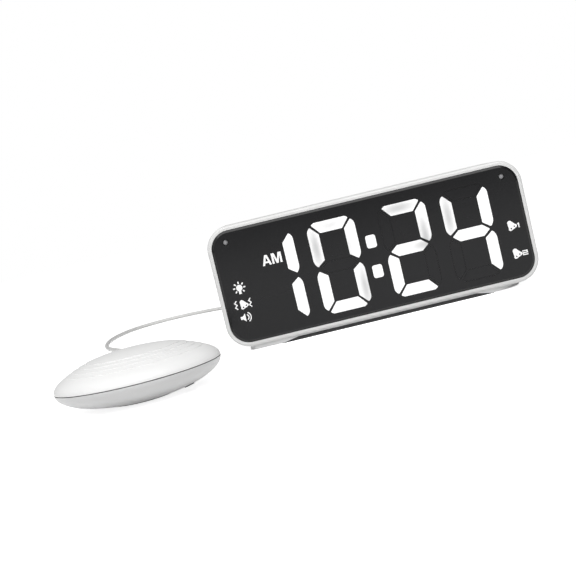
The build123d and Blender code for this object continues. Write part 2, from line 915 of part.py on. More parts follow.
def battery_cup_cuts():
    """Hollow of the cell's cup: the bore, the groove for the cap's lugs and their two entries."""
    hollow_front_y = back_wall_y - cup_depth + cup_floor
    reach = cap_radius + lug_reach + body_gap
    cap_front_y = case_back_y - cap_thickness
    groove_front_y = cap_front_y - cap_skirt_depth - lug_room
    groove_back_y = cap_front_y - cap_skirt_depth + lug_thickness + lug_room
    ring = Circle(reach) - Circle(cap_radius)
    cuts = [rod(cap_radius + body_gap, cell_place, hollow_front_y, case_back_y + cut_over)]
    middle = Pos(cell_place[0], cell_place[1])
    cuts.append(front_slab(middle * ring, groove_front_y, groove_back_y))
    entry = ring & Rectangle(2 * reach, lug_width + 2 * body_gap)
    entry = middle * Rot(0, 0, -cap_turn) * entry
    cuts.append(front_slab(entry, groove_front_y, case_back_y + cut_over))
    return cuts


def snooze_outline(grow):
    """The snooze button seen from above."""
    outline = SlotOverall(snooze_length + 2 * grow, snooze_width + 2 * grow)
    return Pos(0, snooze_y) * outline


def rear_housing():
    """White tub of the case: all walls, the lip, the screw tubes, the posts and the cuts."""
    body = front_slab(case_outline(0), bezel_back_y, case_back_y)
    body = fillet(body.faces().sort_by(Axis.Y)[-1].edges(), back_rounding)
    body = chamfer(body.faces().sort_by(Axis.Y)[0].edges(), seam_chamfer)
    hollow = front_slab(case_outline(case_wall), bezel_back_y - cut_over, back_wall_y)
    hollow = fillet(hollow.faces().sort_by(Axis.Y)[-1].edges(), back_rounding - case_wall)
    body -= hollow
    lip_inside = case_outline(case_wall + lip_thickness)
    body += front_slab(case_outline(case_wall - lip_root) - lip_inside, bezel_back_y + seam_chamfer,
                       bezel_back_y + lip_depth)
    body += front_slab(case_outline(case_wall + fit_gap) - lip_inside, bezel_back_y - lip_depth,
                       bezel_back_y + lip_depth)
    grow = case_wall / 2
    body += [rod(tube_radius, place, guide_boss_end_y, back_wall_y + grow) for place in boss_places]
    body += [rod(post_radius, place, board_back_y, back_wall_y + grow) for place in post_places]
    body += rod(cap_radius + cup_wall, cell_place, back_wall_y - cup_depth, back_wall_y + grow)
    ring = Circle(speaker_radius + fit_gap + speaker_ring_wall) - Circle(speaker_radius + fit_gap)
    body += front_slab(Pos(speaker_place[0], speaker_place[1]) * ring,
                       back_wall_y - speaker_ring_depth, back_wall_y + grow)
    cuts = []
    head_seat_y = guide_boss_end_y + tube_floor
    for place in boss_places:
        cuts.append(rod(well_radius, place, head_seat_y, case_back_y + cut_over))
        cuts.append(rod(case_screw_radius + shaft_gap, place, guide_boss_end_y - cut_over, head_seat_y))
    cuts += [rod(board_screw_radius + shaft_gap, place, board_back_y - cut_over,
                 board_back_y + post_pilot) for place in post_places]
    through_y = back_wall_y - cut_over
    outside_y = case_back_y + cut_over
    cuts += [front_slab(slot, through_y, outside_y) for slot in grille_slots()]
    cuts += [rod(set_button_radius + body_gap, place, through_y, outside_y)
             for place in set_button_places()]
    slide_room = slide_stem_width + 2 * slide_travel + 2 * body_gap
    cuts += [block(slide_room, slide_stem_height + 2 * body_gap, place, through_y, outside_y)
             for place in (mode_slide_place, dimmer_slide_place)]
    cuts.append(rod(volume_shaft_radius + body_gap, volume_place, through_y, outside_y))
    cuts += [rod(socket_nose_radius + fit_gap, (x, socket_height_z), through_y, outside_y)
             for x in (power_place_x, shaker_place_x)]
    cuts += battery_cup_cuts()
    top_cut = Pos(0, 0, case_top_z - case_wall - cut_over) * snooze_outline(body_gap)
    cuts.append(extrude(top_cut, amount=case_wall + 2 * cut_over, dir=(0, 0, 1)))
    cuts += [upright(plinth_screw_radius + shaft_gap, (side * plinth_screw_place, 0),
                     case_lift - cut_over, case_lift + case_wall + cut_over) for side in (-1, 1)]
    return body - cuts


def pad_outline(gap):
    """End view of the rubber pad: wider at its foot."""
    half_foot = pad_bottom_width / 2 + gap
    half_top = pad_top_width / 2 + gap
    corners = [(-half_foot, 0), (half_foot, 0), (half_top, pad_height + gap),
               (-half_top, pad_height + gap)]
    return make_face(Polyline(*corners, close=True))


def base_plinth():
    """Low white plate under the case, with a shallow bay for the rubber pad."""
    plate = Rectangle(plinth_width, plinth_depth)
    corner_shares = ((-1, -1, plinth_left_corner_share), (1, -1, plinth_right_corner_share),
                     (-1, 1, plinth_back_corner_share), (1, 1, plinth_back_corner_share))
    for side_x, side_y, share in corner_shares:
        corner = plate.vertices().sort_by_distance((side_x * plinth_width, side_y * plinth_depth))[0]
        plate = fillet(corner, share * plinth_depth)
    plate = Pos(0, plinth_front_y + plinth_depth / 2, plinth_lift) * plate
    plinth = extrude(plate, amount=case_lift - plinth_lift, dir=(0, 0, 1))
    plinth -= front_slab(pad_outline(shaft_gap), plinth_front_y - cut_over,
                         plinth_front_y + pad_depth + shaft_gap)
    for side in (-1, 1):
        place = (side * plinth_screw_place, 0)
        head_top = plinth_lift + plinth_screw_head
        plinth -= upright(plinth_screw_head_radius + fit_gap, place, plinth_lift - cut_over, head_top)
        plinth -= upright(plinth_screw_radius + shaft_gap, place, head_top, case_lift + cut_over)
    return plinth


def rubber_pad():
    """Black pad under the plinth; the clock stands on it."""
    return front_slab(pad_outline(0), plinth_front_y, plinth_front_y + pad_depth)


def plinth_screws():
    """Two small screws through the plinth into the case."""
    screws = []
    for side in (-1, 1):
        place = (side * plinth_screw_place, 0)
        head_top = plinth_lift + plinth_screw_head
        screw = upright(plinth_screw_head_radius, place, plinth_lift, head_top)
        screw += upright(plinth_screw_radius, place, head_top, head_top + plinth_screw_length)
        cross = Pos(place[0], place[1], plinth_lift) * cross_outline(plinth_screw_head_radius)
        depth = recess_depth_share * plinth_screw_head
        screws.append(screw - extrude(cross, amount=depth, dir=(0, 0, 1)))
    return group(screws)


def case_screws():
    """Four long screws that clamp housing, light guide and bezel together."""
    head_seat_y = guide_boss_end_y + tube_floor
    screws = []
    for place in boss_places:
        head_end_y = head_seat_y + case_screw_head
        screw = rod(case_screw_head_radius, place, head_seat_y, head_end_y)
        screw += rod(case_screw_radius, place, head_seat_y - case_screw_length, head_seat_y)
        cross = Pos(place[0], place[1]) * cross_outline(case_screw_head_radius)
        depth = recess_depth_share * case_screw_head
        screws.append(screw - front_slab(cross, head_end_y - depth, head_end_y))
    return group(screws)


def main_board():
    """Upright circuit board on the back wall's posts."""
    place = (board_left + board_width / 2, board_bottom + board_height / 2)
    board = block(board_width, board_height, place, board_front_y, board_back_y)
    return board - [rod(board_screw_radius + shaft_gap, post, board_front_y - cut_over,
                        board_back_y + cut_over) for post in post_places]


def board_screws():
    """Screws that hold the main board on its posts."""
    screws = []
    for place in post_places:
        head_front_y = board_front_y - board_screw_head
        screw = rod(board_screw_head_radius, place, head_front_y, board_front_y)
        screw += rod(board_screw_radius, place, board_front_y, board_front_y + board_screw_length)
        cross = Pos(place[0], place[1]) * cross_outline(board_screw_head_radius)
        depth = recess_depth_share * board_screw_head
        screws.append(screw - front_slab(cross, head_front_y, head_front_y + depth))
    return group(screws)


def control_chips():
    """Chips, crystal, regulator and capacitors on the board's inner face."""
    chips = [block(width, height, board_places[name], board_front_y - thickness, board_front_y)
             for name, (width, height, thickness) in chip_sizes.items()]
    x, z = board_places["capacitors"]
    chips += [rod(capacitor_radius, (x, z + side * capacitor_pitch / 2),
                  board_front_y - capacitor_length, board_front_y) for side in (-1, 1)]
    return group(chips)


def ribbon_sockets():
    """Socket of the display ribbon on each of the two boards."""
    solids = [block(socket_width, socket_height, ribbon_place, led_board_back_y,
                    led_board_back_y + socket_depth),
              block(socket_width, socket_height, ribbon_place, board_front_y - socket_depth,
                    board_front_y)]
    slot = block(ribbon_width + 2 * fit_gap, ribbon_thickness + 2 * fit_gap, ribbon_place,
                 led_board_back_y + socket_depth / 2, board_front_y - socket_depth / 2)
    return group(solid - slot for solid in solids)


def display_ribbon():
    """Flat ribbon between the boards."""
    return block(ribbon_width, ribbon_thickness, ribbon_place,
                 led_board_back_y + socket_depth / 2 + fit_gap,
                 board_front_y - socket_depth / 2 - fit_gap)


def speaker_basket():
    """Pressed steel frame of the loudspeaker."""
    rim_y = back_wall_y
    neck_y = rim_y - speaker_depth
    flange_y = rim_y - speaker_rim_thickness
    inner_rim = speaker_radius - speaker_rim
    points = [
        (0, neck_y), (speaker_neck_radius + speaker_sheet, neck_y),
        (inner_rim + speaker_sheet, flange_y), (speaker_radius, flange_y),
        (speaker_radius, rim_y), (inner_rim, rim_y), (inner_rim, flange_y),
        (speaker_neck_radius, neck_y + speaker_sheet), (0, neck_y + speaker_sheet),
    ]
    return Pos(speaker_place[0], 0, speaker_place[1]) * turned_solid(points)


def speaker_cone():
    """Paper cone with its dust cap, from the rim to the throat."""
    rim_y = back_wall_y - speaker_sheet
    throat_y = rim_y - cone_depth
    rim_radius = speaker_radius - speaker_rim - 2 * fit_gap
    cap_y = throat_y + cone_depth / 2
    points = [
        (0, cap_y), (cone_throat_radius / 2, cap_y - cone_sheet),
        (cone_throat_radius, throat_y), (rim_radius, rim_y - cone_sheet), (rim_radius, rim_y),
        (cone_throat_radius, throat_y + cone_sheet), (cone_throat_radius / 2, cap_y),
        (0, cap_y + cone_sheet),
    ]
    return Pos(speaker_place[0], 0, speaker_place[1]) * turned_solid(points)


def speaker_magnet():
    """Ring magnet behind the basket."""
    neck_y = back_wall_y - speaker_depth
    return rod(magnet_radius, speaker_place, neck_y - magnet_depth, neck_y)


def snooze_button():
    """Long flush bar in the top, with a flange under the wall and a stem to its switch."""
    under_wall_z = case_top_z - case_wall
    flange_top_z = under_wall_z - body_gap
    flange_low_z = flange_top_z - snooze_flange_thickness
    cap_height = case_top_z - snooze_recess - flange_top_z
    cap = extrude(Pos(0, 0, flange_top_z) * snooze_outline(0), amount=cap_height, dir=(0, 0, 1))
    cap = fillet(cap.faces().sort_by(Axis.Z)[-1].edges(), snooze_edge)
    flange = Pos(0, 0, flange_low_z) * snooze_outline(snooze_flange)
    button = cap + extrude(flange, amount=snooze_flange_thickness, dir=(0, 0, 1))
    switch_top_z = board_top + snooze_switch_rise
    return button + upright(stem_radius, (0, snooze_y), switch_top_z - stem_entry, flange_low_z)


def snooze_switch():
    """Push switch on the board's upper edge, with a well for the button's stem."""
    top_z = board_top + snooze_switch_rise
    size = snooze_switch_size
    middle_z = top_z - snooze_switch_height / 2
    switch = block(size, snooze_switch_height, (0, middle_z), board_front_y - size, board_front_y)
    return switch - upright(stem_radius + fit_gap, (0, snooze_y), top_z - switch_well_depth - stem_entry,
                            top_z + cut_over)


def set_button(place):
    """Round button in the back wall, with a flange inside and a stem to its switch."""
    flange_back_y = back_wall_y - body_gap
    flange_front_y = flange_back_y - set_button_flange_thickness
    switch_y = board_back_y + set_switch_depth
    cap = rod(set_button_radius, place, flange_back_y, case_back_y + set_button_proud)
    cap = fillet(cap.edges().sort_by(Axis.Y)[-1], set_button_edge)
    button = cap + rod(set_button_radius + set_button_flange, place, flange_front_y, flange_back_y)
    return button + rod(stem_radius, place, switch_y - stem_entry, flange_front_y)


def set_switches():
    """Six push switches on the board's outer face."""
    switch_y = board_back_y + set_switch_depth
    switches = []
    for place in set_button_places():
        switch = block(set_switch_size, set_switch_size, place, board_back_y, switch_y)
        switch -= rod(stem_radius + fit_gap, place, switch_y - switch_well_depth - fit_gap,
                      switch_y + cut_over)
        switches.append(switch)
    return group(switches)


def slide_switch_body(place):
    """Body of a slide switch on the board's outer face, with the slot its knob runs in."""
    back_y = board_back_y + slide_body_depth
    body = block(slide_body_width, slide_body_height, place, board_back_y, back_y)
    room = slide_stem_width + 2 * slide_travel + 2 * body_gap
    return body - block(room, slide_stem_height + 2 * body_gap, place, back_y - slide_slot_depth,
                        back_y + cut_over)


def slide_knob(place, shift):
    """Knob of a slide switch: a stem through the wall, and a shade that hides the slot."""
    place = (place[0] + shift, place[1])
    body_back_y = board_back_y + slide_body_depth
    front_y = body_back_y - slide_slot_depth + body_gap
    knob = block(slide_stem_width, slide_stem_height, place, front_y, case_back_y + slide_proud)
    knob = fillet(knob.faces().sort_by(Axis.Y)[-1].edges(), slide_edge)
    shade_back_y = back_wall_y - body_gap
    shade = block(slide_shade_width, slide_shade_height, place, shade_back_y - slide_shade_thickness,
                  shade_back_y)
    return knob + shade


def volume_body():
    """Potentiometer on the board's outer face."""
    back_y = board_back_y + volume_body_depth
    body = block(volume_body_size, volume_body_size, volume_place, board_back_y, back_y)
    return body - rod(volume_shaft_radius + shaft_gap, volume_place,
                      back_y - volume_shaft_entry - body_gap, back_y + cut_over)


def volume_shaft():
    """Round shaft from the potentiometer into the knob."""
    back_y = board_back_y + volume_body_depth
    knob_back_y = case_back_y + body_gap + knob_height
    return rod(volume_shaft_radius, volume_place, back_y - volume_shaft_entry, knob_back_y - knob_skin)


def volume_knob():
    """Grooved round knob with a pointer line."""
    front_y = case_back_y + body_gap
    back_y = front_y + knob_height
    knob = rod(knob_radius, volume_place, front_y, back_y)
    knob = fillet(knob.edges().sort_by(Axis.Y)[-1], knob_edge)
    knob -= rod(volume_shaft_radius + press_gap, volume_place, front_y - cut_over, back_y - knob_skin)
    grooves = []
    for step in range(knob_grooves):
        angle = 2 * math.pi * step / knob_grooves
        place = (volume_place[0] + knob_radius * math.cos(angle),
                 volume_place[1] + knob_radius * math.sin(angle))
        grooves.append(rod(knob_groove_radius, place, front_y - cut_over, back_y + cut_over))
    mark_place = (volume_place[0], volume_place[1] + knob_radius / 2)
    grooves.append(block(knob_mark_width, knob_radius / 2, mark_place, back_y - knob_mark_depth,
                         back_y + cut_over))
    return knob - grooves


def round_socket(x, bore_radius, bore_depth):
    """Socket on the board with a round nose in the wall and a blind bore."""
    place = (x, socket_height_z)
    socket = block(socket_body_width, socket_body_height, place, board_back_y, back_wall_y)
    socket += rod(socket_nose_radius, place, back_wall_y, socket_nose_y)
    return socket - rod(bore_radius, place, socket_nose_y - bore_depth, socket_nose_y + cut_over)


def socket_pins():
    """Centre pins of the power inlet and of the shaker jack."""
    sizes = ((power_place_x, power_bore_depth, power_pin_radius, power_pin_length),
             (shaker_place_x, shaker_bore_depth, shaker_pin_radius, shaker_pin_length))
    pins = []
    for x, depth, radius, length in sizes:
        foot_y = socket_nose_y - depth
        pins.append(rod(radius, (x, socket_height_z), foot_y, foot_y + length))
    return group(pins)


def battery_cap():
    """Turn cap over the cell, flush with the back, with two lugs and a coin slot."""
    front_y = case_back_y - cap_thickness
    skirt_y = front_y - cap_skirt_depth
    middle = Pos(cell_place[0], cell_place[1])
    cap = rod(cap_radius, cell_place, front_y, case_back_y)
    skirt = Circle(cap_radius) - Circle(cap_radius - cap_skirt)
    cap += front_slab(middle * skirt, skirt_y, front_y)
    press = Circle(cap_press_radius) - Circle(cap_press_radius - cap_skirt)
    cap += front_slab(middle * press, skirt_y, front_y)
    reach = cap_radius + lug_reach
    lugs = (Circle(reach) - Circle(cap_radius - cap_skirt / 2)) & Rectangle(2 * reach, lug_width)
    cap += front_slab(middle * lugs, skirt_y, skirt_y + lug_thickness)
    slot = SlotOverall(cap_slot_length, cap_slot_width)
    return cap - front_slab(middle * slot, case_back_y - cap_slot_depth, case_back_y + cut_over)


def backup_cell():
    """Round coin cell in its cup."""
    back_y = case_back_y - cap_thickness - cap_skirt_depth - body_gap
    return rod(cell_radius, cell_place, back_y - cell_thickness, back_y)


def cell_contact():
    """Dished spring plate under the cell."""
    floor_y = back_wall_y - cup_depth + cup_floor
    cell_y = case_back_y - cap_thickness - cap_skirt_depth - body_gap - cell_thickness
    points = [
        (contact_tip_radius, cell_y - contact_sheet), (contact_rim_radius, floor_y),
        (contact_rim_radius, floor_y + contact_sheet), (contact_tip_radius, cell_y),
    ]
    return Pos(cell_place[0], 0, cell_place[1]) * turned_solid(points)


def shaker_plug():
    """Moulded grip of the plug with its ringed, tapered relief."""
    relief_y = plug_front_y + plug_grip_length
    shoulder_y = relief_y - plug_grip_radius / 2
    points = [(0, plug_front_y), (plug_grip_radius, plug_front_y), (plug_grip_radius, shoulder_y)]
    points += ring_steps(relief_y, plug_back_y, plug_neck_radius, plug_relief_end_radius,
                         plug_groove, plug_groove_count)
    points.append((0, plug_back_y))
    grip = Pos(shaker_place_x, 0, socket_height_z) * turned_solid(points)
    return grip


def ring_steps(start_y, end_y, start_radius, end_radius, groove, count):
    """Points of a taper with square ring grooves, the last land ending the taper."""
    points = []
    pitch = (end_y - start_y) / (count + 0.5)
    for step in range(count + 1):
        land_start = start_y + step * pitch
        land_end = land_start + pitch / 2
        share = step / count
        radius = start_radius + (end_radius - start_radius) * share
        points += [(radius, land_start), (radius, land_end)]
        if step < count:
            floor = max(radius - groove, cord_radius + fit_gap)
            points += [(floor, land_end), (floor, land_start + pitch)]
    return points


def plug_barrel():
    """Metal barrel of the plug, inside the jack."""
    place = (shaker_place_x, socket_height_z)
    front_y = plug_front_y - plug_barrel_length
    barrel = rod(plug_barrel_radius, place, front_y, plug_front_y)
    return barrel - rod(plug_barrel_bore, place, front_y - cut_over, plug_front_y)


def ellipse_arc(radius, rise, start_angle, end_angle):
    """Part of an upright ellipse about the origin, its angles as on the round circle."""
    return EllipticalCenterArc((0, 0), radius, rise, start_angle, arc_size=end_angle - start_angle)


def ellipse_angle(share):
    """Angle at which an ellipse reaches a share of its height."""
    return math.degrees(math.asin(share))


def flattened_ball(radius, rise):
    """Whole flattened ball about the origin."""
    outline = make_face(Curve() + [ellipse_arc(radius, rise, -90, 90), Line((0, rise), (0, -rise))])
    return Rot(90, 0, 0) * revolve(outline, axis=Axis.Y)


def puck_screw_places():
    """Places of the two puck screws."""
    reach = puck_radius * puck_screw_share
    return [(puck_x + reach * math.cos(math.radians(angle)),
             puck_y + reach * math.sin(math.radians(angle))) for angle in puck_screw_angles]


def boot_hole():
    """Round way out for the boot's neck through the puck's side."""
    return rod(boot_neck_radius + shaft_gap, (puck_x, puck_seam_height),
               puck_y + puck_radius / 2, boot_start_y + cut_over)


def terrace_lines():
    """The dome's outline from its rim to its flat crown, with an upright step at each terrace."""
    shares = [1] + terrace_radius_shares + [puck_crown_radius / puck_radius]
    angles = [math.degrees(math.acos(share)) for share in shares]
    lines = []
    for step in range(len(terrace_radius_shares) + 1):
        rise = terrace_base_rise + step * terrace_step
        arc = ellipse_arc(puck_radius, rise, angles[step], angles[step + 1])
        if step:
            lines.append(Line(lines[-1] @ 1, arc @ 0))
        lines.append(arc)
    return lines


def shaker_top_shell():
    """Domed upper shell with four low terrace steps and two screw posts."""
    inner_radius = puck_radius - puck_wall
    inner_rise = terrace_base_rise - puck_wall
    outer = terrace_lines()
    crown = math.degrees(math.acos(puck_crown_radius / inner_radius))
    inner = ellipse_arc(inner_radius, inner_rise, 0, crown)
    outer_crown = outer[-1] @ 1
    inner_crown = inner @ 1
    middle = Polyline(outer_crown, (0, outer_crown.Y), (0, inner_crown.Y), inner_crown)
    rim = Line((inner_radius, 0), (puck_radius, 0))
    outline = make_face(Curve() + [*outer, middle, inner, rim])
    place = Pos(puck_x, puck_y, puck_top_seat_z)
    shell = place * Rot(90, 0, 0) * revolve(outline, axis=Axis.Y)
    half_wall = puck_wall / 2
    core = place * flattened_ball(puck_radius - half_wall, terrace_base_rise - half_wall)
    for screw_place in puck_screw_places():
        post = upright(puck_top_boss_radius, screw_place, puck_boss_top, puck_seam_height + puck_top_rise)
        shell += post & core
        shell -= upright(puck_screw_radius + shaft_gap, screw_place, puck_boss_top - cut_over,
                         puck_head_seat + puck_screw_length + body_gap)
    return shell - boot_hole()


def shaker_bottom_shell():
    """Lower shell: a bowl with a flat foot, the joining lip, screw wells and the motor's saddle."""
    inner_radius = puck_radius - puck_wall
    inner_rise = puck_low_rise - puck_wall
    top_inner_rise = terrace_base_rise - puck_wall
    lip_share = math.sqrt(1 - (puck_lip_rise / top_inner_rise) ** 2)
    lip_outer = inner_radius * lip_share - fit_gap
    lip_inner = lip_outer - puck_lip_thickness
    seam = puck_top_seat_z - puck_low_seat_z
    foot_z = puck_lift - puck_low_seat_z
    floor_z = puck_floor_z - puck_low_seat_z
    outer = ellipse_arc(puck_radius, puck_low_rise, ellipse_angle(foot_z / puck_low_rise), 0)
    inner = ellipse_arc(inner_radius, inner_rise, ellipse_angle(floor_z / inner_rise),
                        ellipse_angle(-puck_lip_rise / inner_rise))
    rim = [
        outer @ 1, (puck_radius - puck_seam_depth, 0), (puck_radius - puck_seam_depth, seam),
        (lip_outer, seam), (lip_outer, seam + puck_lip_rise), (lip_inner, seam + puck_lip_rise),
        (lip_inner, -puck_lip_rise), inner @ 1,
    ]
    foot = [inner @ 0, (0, floor_z), (0, foot_z), outer @ 0]
    outline = make_face(Curve() + [outer, Polyline(*rim), inner, Polyline(*foot)])
    place = Pos(puck_x, puck_y, puck_low_seat_z)
    shell = place * Rot(90, 0, 0) * revolve(outline, axis=Axis.Y)
    half_wall = puck_wall / 2
    core = place * flattened_ball(puck_radius - half_wall, puck_low_rise - half_wall)
    for screw_place in puck_screw_places():
        shell += upright(puck_boss_radius, screw_place, puck_lift, puck_boss_top) & core
        shell -= upright(puck_well_radius, screw_place, puck_lift - cut_over, puck_head_seat)
        shell -= upright(puck_screw_radius + shaft_gap, screw_place, puck_head_seat,
                         puck_boss_top + cut_over)
    shell += motor_cradle()
    centre = (puck_x, puck_y)
    groove = upright(foot_ring_outer + shaft_gap, centre, puck_lift - cut_over, puck_lift + foot_ring_seat)
    groove -= upright(foot_ring_inner - shaft_gap, centre, puck_lift - cut_over,
                      puck_lift + foot_ring_seat)
    return shell - groove - boot_hole()


def shaker_feet():
    """Rubber ring that the puck rests on, and a rubber plug in the mouth of each screw well."""
    centre = (puck_x, puck_y)
    ring = upright(foot_ring_outer, centre, 0, puck_lift + foot_ring_seat)
    ring -= upright(foot_ring_inner, centre, -cut_over, puck_lift + foot_ring_seat + cut_over)
    proud = Pos(puck_x, puck_y, puck_low_seat_z) * flattened_ball(puck_radius + puck_plug_proud,
                                                                  puck_low_rise + puck_plug_proud)
    plug_top = puck_head_seat - puck_screw_head - fit_gap
    plugs = [upright(puck_well_radius - puck_plug_gap, place, 0, plug_top) & proud
             for place in puck_screw_places()]
    return group([ring, *plugs])


def shaker_screws():
    """Two screws that join the puck's shells."""
    screws = []
    for place in puck_screw_places():
        head_low = puck_head_seat - puck_screw_head
        screw = upright(puck_screw_head_radius, place, head_low, puck_head_seat)
        screw += upright(puck_screw_radius, place, puck_head_seat, puck_head_seat + puck_screw_length)
        cross = Pos(place[0], place[1], head_low) * cross_outline(puck_screw_head_radius)
        depth = recess_depth_share * puck_screw_head
        screws.append(screw - extrude(cross, amount=depth, dir=(0, 0, 1)))
    return group(screws)


def shaft_rod(radius, left, right):
    """Round bar along the motor's axis, from and to places beside the puck's middle."""
    disc = Plane(origin=(left, 0, 0), x_dir=(0, 1, 0), z_dir=(1, 0, 0)) * Circle(radius)
    return motor_place * extrude(disc, amount=right - left, dir=(1, 0, 0))


def motor_can():
    """Steel can of the motor with its nose bearing."""
    nose_end = motor_head - motor_nose_length
    can = shaft_rod(motor_radius, motor_head, motor_tail)
    can += shaft_rod(motor_nose_radius, nose_end, motor_head)
    return can - shaft_rod(motor_shaft_radius + shaft_gap, nose_end - cut_over,
                           motor_head + motor_shaft_entry)


def motor_end_cap():
    """Plastic end cap of the motor, where its leads start."""
    return shaft_rod(motor_radius - motor_end_cap_inset, motor_tail, motor_tail + motor_end_cap_length)


def motor_shaft():
    """Thin shaft that carries the weight."""
    nose_end = motor_head - motor_nose_length
    return shaft_rod(motor_shaft_radius, nose_end - motor_shaft_reach,
                     motor_head + motor_shaft_entry - fit_gap)


def eccentric_weight():
    """Half disc on the shaft; it shakes the puck as it spins."""
    right = motor_head - motor_nose_length - weight_stand_off
    left = right - weight_length
    disc = shaft_rod(weight_radius, left, right)
    size = 4 * weight_radius
    lower_half = motor_place * Pos((left + right) / 2, 0, -size / 2) * Box(size, size, size)
    weight = disc & lower_half
    weight = fillet(weight.edges().filter_by(GeomType.CIRCLE), weight_edge)
    weight += shaft_rod(weight_hub_radius, left, right)
    return weight - shaft_rod(motor_shaft_radius + press_gap, left - cut_over, right + cut_over)


def motor_cradle():
    """Saddle on the lower shell's floor, hollowed for the motor."""
    length = cradle_right - cradle_left
    top_z = puck_seam_height - body_gap
    height = top_z - puck_floor_z
    middle = Pos(puck_x + (cradle_left + cradle_right) / 2, puck_y, puck_floor_z + height / 2)
    block_shape = middle * Box(length, 2 * cradle_half_width, height)
    return block_shape - shaft_rod(motor_radius + shaft_gap, cradle_left - cut_over, cradle_right + cut_over)


def motor_strap():
    """Steel strap over the motor, its two feet on the cradle."""
    left = (cradle_left + cradle_right - strap_width) / 2
    right = left + strap_width
    seat_z = -body_gap
    inner = motor_radius + shaft_gap
    outer = inner + strap_thickness
    arch = shaft_rod(outer, left, right)
    foot_size = (strap_width, 2 * cradle_half_width, strap_foot_thickness)
    foot_place = Pos((left + right) / 2, 0, seat_z + strap_foot_thickness / 2)
    arch += motor_place * foot_place * Box(*foot_size)
    arch -= shaft_rod(inner, left - cut_over, right + cut_over)
    size = 4 * outer
    return arch & (motor_place * Pos(left, 0, seat_z + size / 2) * Box(size, size, size))


def cord_boot():
    """Rubber boot held in the puck's side by its flange; the cord leaves through it."""
    flange_y = boot_start_y - boot_flange_set_back
    neck_y = flange_y + boot_flange
    points = [
        (0, flange_y), (boot_flange_radius, flange_y), (boot_flange_radius, neck_y),
        (boot_neck_radius, neck_y), (boot_neck_radius, boot_start_y),
    ]
    points += ring_steps(boot_start_y, boot_end_y, boot_collar_radius, boot_end_radius,
                         boot_groove, boot_groove_count)
    points.append((0, boot_end_y))
    return Pos(puck_x, 0, puck_seam_height) * turned_solid(points)


def corner_radii(route):
    """Arc radius at each corner of a route, as large as its two runs allow."""
    radii = []
    points = [Vector(*point) for point in route]
    for before, corner, after in zip(points, points[1:], points[2:]):
        first = corner - before
        second = after - corner
        half_turn = math.radians(first.get_angle(second)) / 2
        radii.append(run_share * min(first.length, second.length) / math.tan(half_turn))
    return radii


def tube_along(path, radius):
    """Round tube along a path."""
    section = Plane(origin=path @ 0, z_dir=path % 0) * Circle(radius)
    return sweep(section, path=path)


def route_tube(name, route, radius):
    """Tube of straight runs and tangent arcs; its radii and volume are printed."""
    radii = corner_radii(route)
    path = FilletPolyline(*route, radius=radii)
    tube = tube_along(path, radius)
    expected = math.pi * radius ** 2 * path.length
    print(name, "length", round(path.length, 1), "radii", [round(value, 1) for value in radii])
    print(name, "volume", round(tube.volume, 1), "of", round(expected, 1))
    return tube


def motor_leads():
    """Two thin wires from the motor's end cap to the boot's flange."""
    wires = []
    for side in (-1, 1):
        z = puck_seam_height + side * lead_spread / 2
        route = [(puck_x + x, puck_y + y, z) for x, y in motor_lead_route]
        wires.append(route_tube("motor lead", route, lead_radius))
    return group(wires)


def half_turn_arc(start, heading, radius, side):
    """Half circle in a level plane, turning left round its middle; returns it and its end."""
    end = (start[0] + side * 2 * radius, start[1], start[2])
    return TangentArc(start, end, tangent=(0, heading, 0)), end


def climbing_half_turn(start, heading, radius, side, rise):
    """Half turn that rises by one layer, as two tilted quarter arcs that meet smoothly."""
    reach = math.sqrt(radius ** 2 + (rise / 2) ** 2)
    middle = (start[0] + side * radius, start[1] + heading * reach, start[2] + rise / 2)
    end = (start[0] + side * 2 * radius, start[1], start[2] + rise)
    first = TangentArc(start, middle, tangent=(0, heading, 0))
    second = TangentArc(end, middle, tangent=(0, heading, 0))
    return [first, second], end


def coil_path():
    """Path of the coil: in to the middle in the lower layer, up, and out again above."""
    spot = (coil_start_x, coil_place_y, coil_low_z)
    pieces = [Line((coil_start_x, coil_start_y, coil_low_z), spot)]
    heading = -1
    side = 1
    radius = coil_outer_radius
    for step in range(coil_half_turns_in):
        arc, spot = half_turn_arc(spot, heading, radius, side)
        pieces.append(arc)
        radius -= coil_pitch / 2
        heading = -heading
        side = -side
    climb, spot = climbing_half_turn(spot, heading, radius, side, coil_pitch)
    pieces += climb
    for step in range(coil_half_turns_in - 1):
        radius += coil_pitch / 2
        heading = -heading
        side = -side
        arc, spot = half_turn_arc(spot, heading, radius, side)
        pieces.append(arc)
    pieces.append(Line(spot, (spot[0], spot[1] - cord_straight_end, spot[2])))
    return Wire([edge for piece in pieces for edge in piece.edges()])


def least_self_gap(path, radius):
    """Smallest gap between stretches of a tube that aren't neighbours along it."""
    count = int(path.length / radius)
    spots = [path.position_at(step / count) for step in range(count + 1)]
    skip = int(math.pi * coil_outer_radius / radius / 3)
    gaps = [(first - second).length for index, first in enumerate(spots)
            for second in spots[index + skip:]]
    return min(gaps) - 2 * radius


def cord_coil():
    """The put-away length of the cord, wound in two layers."""
    path = coil_path()
    coil = tube_along(path, cord_radius)
    expected = math.pi * cord_radius ** 2 * path.length
    print("coil length", round(path.length, 1), "volume", round(coil.volume, 1), "of", round(expected, 1))
    print("coil least gap to itself", round(least_self_gap(path, cord_radius), 2))
    return coil


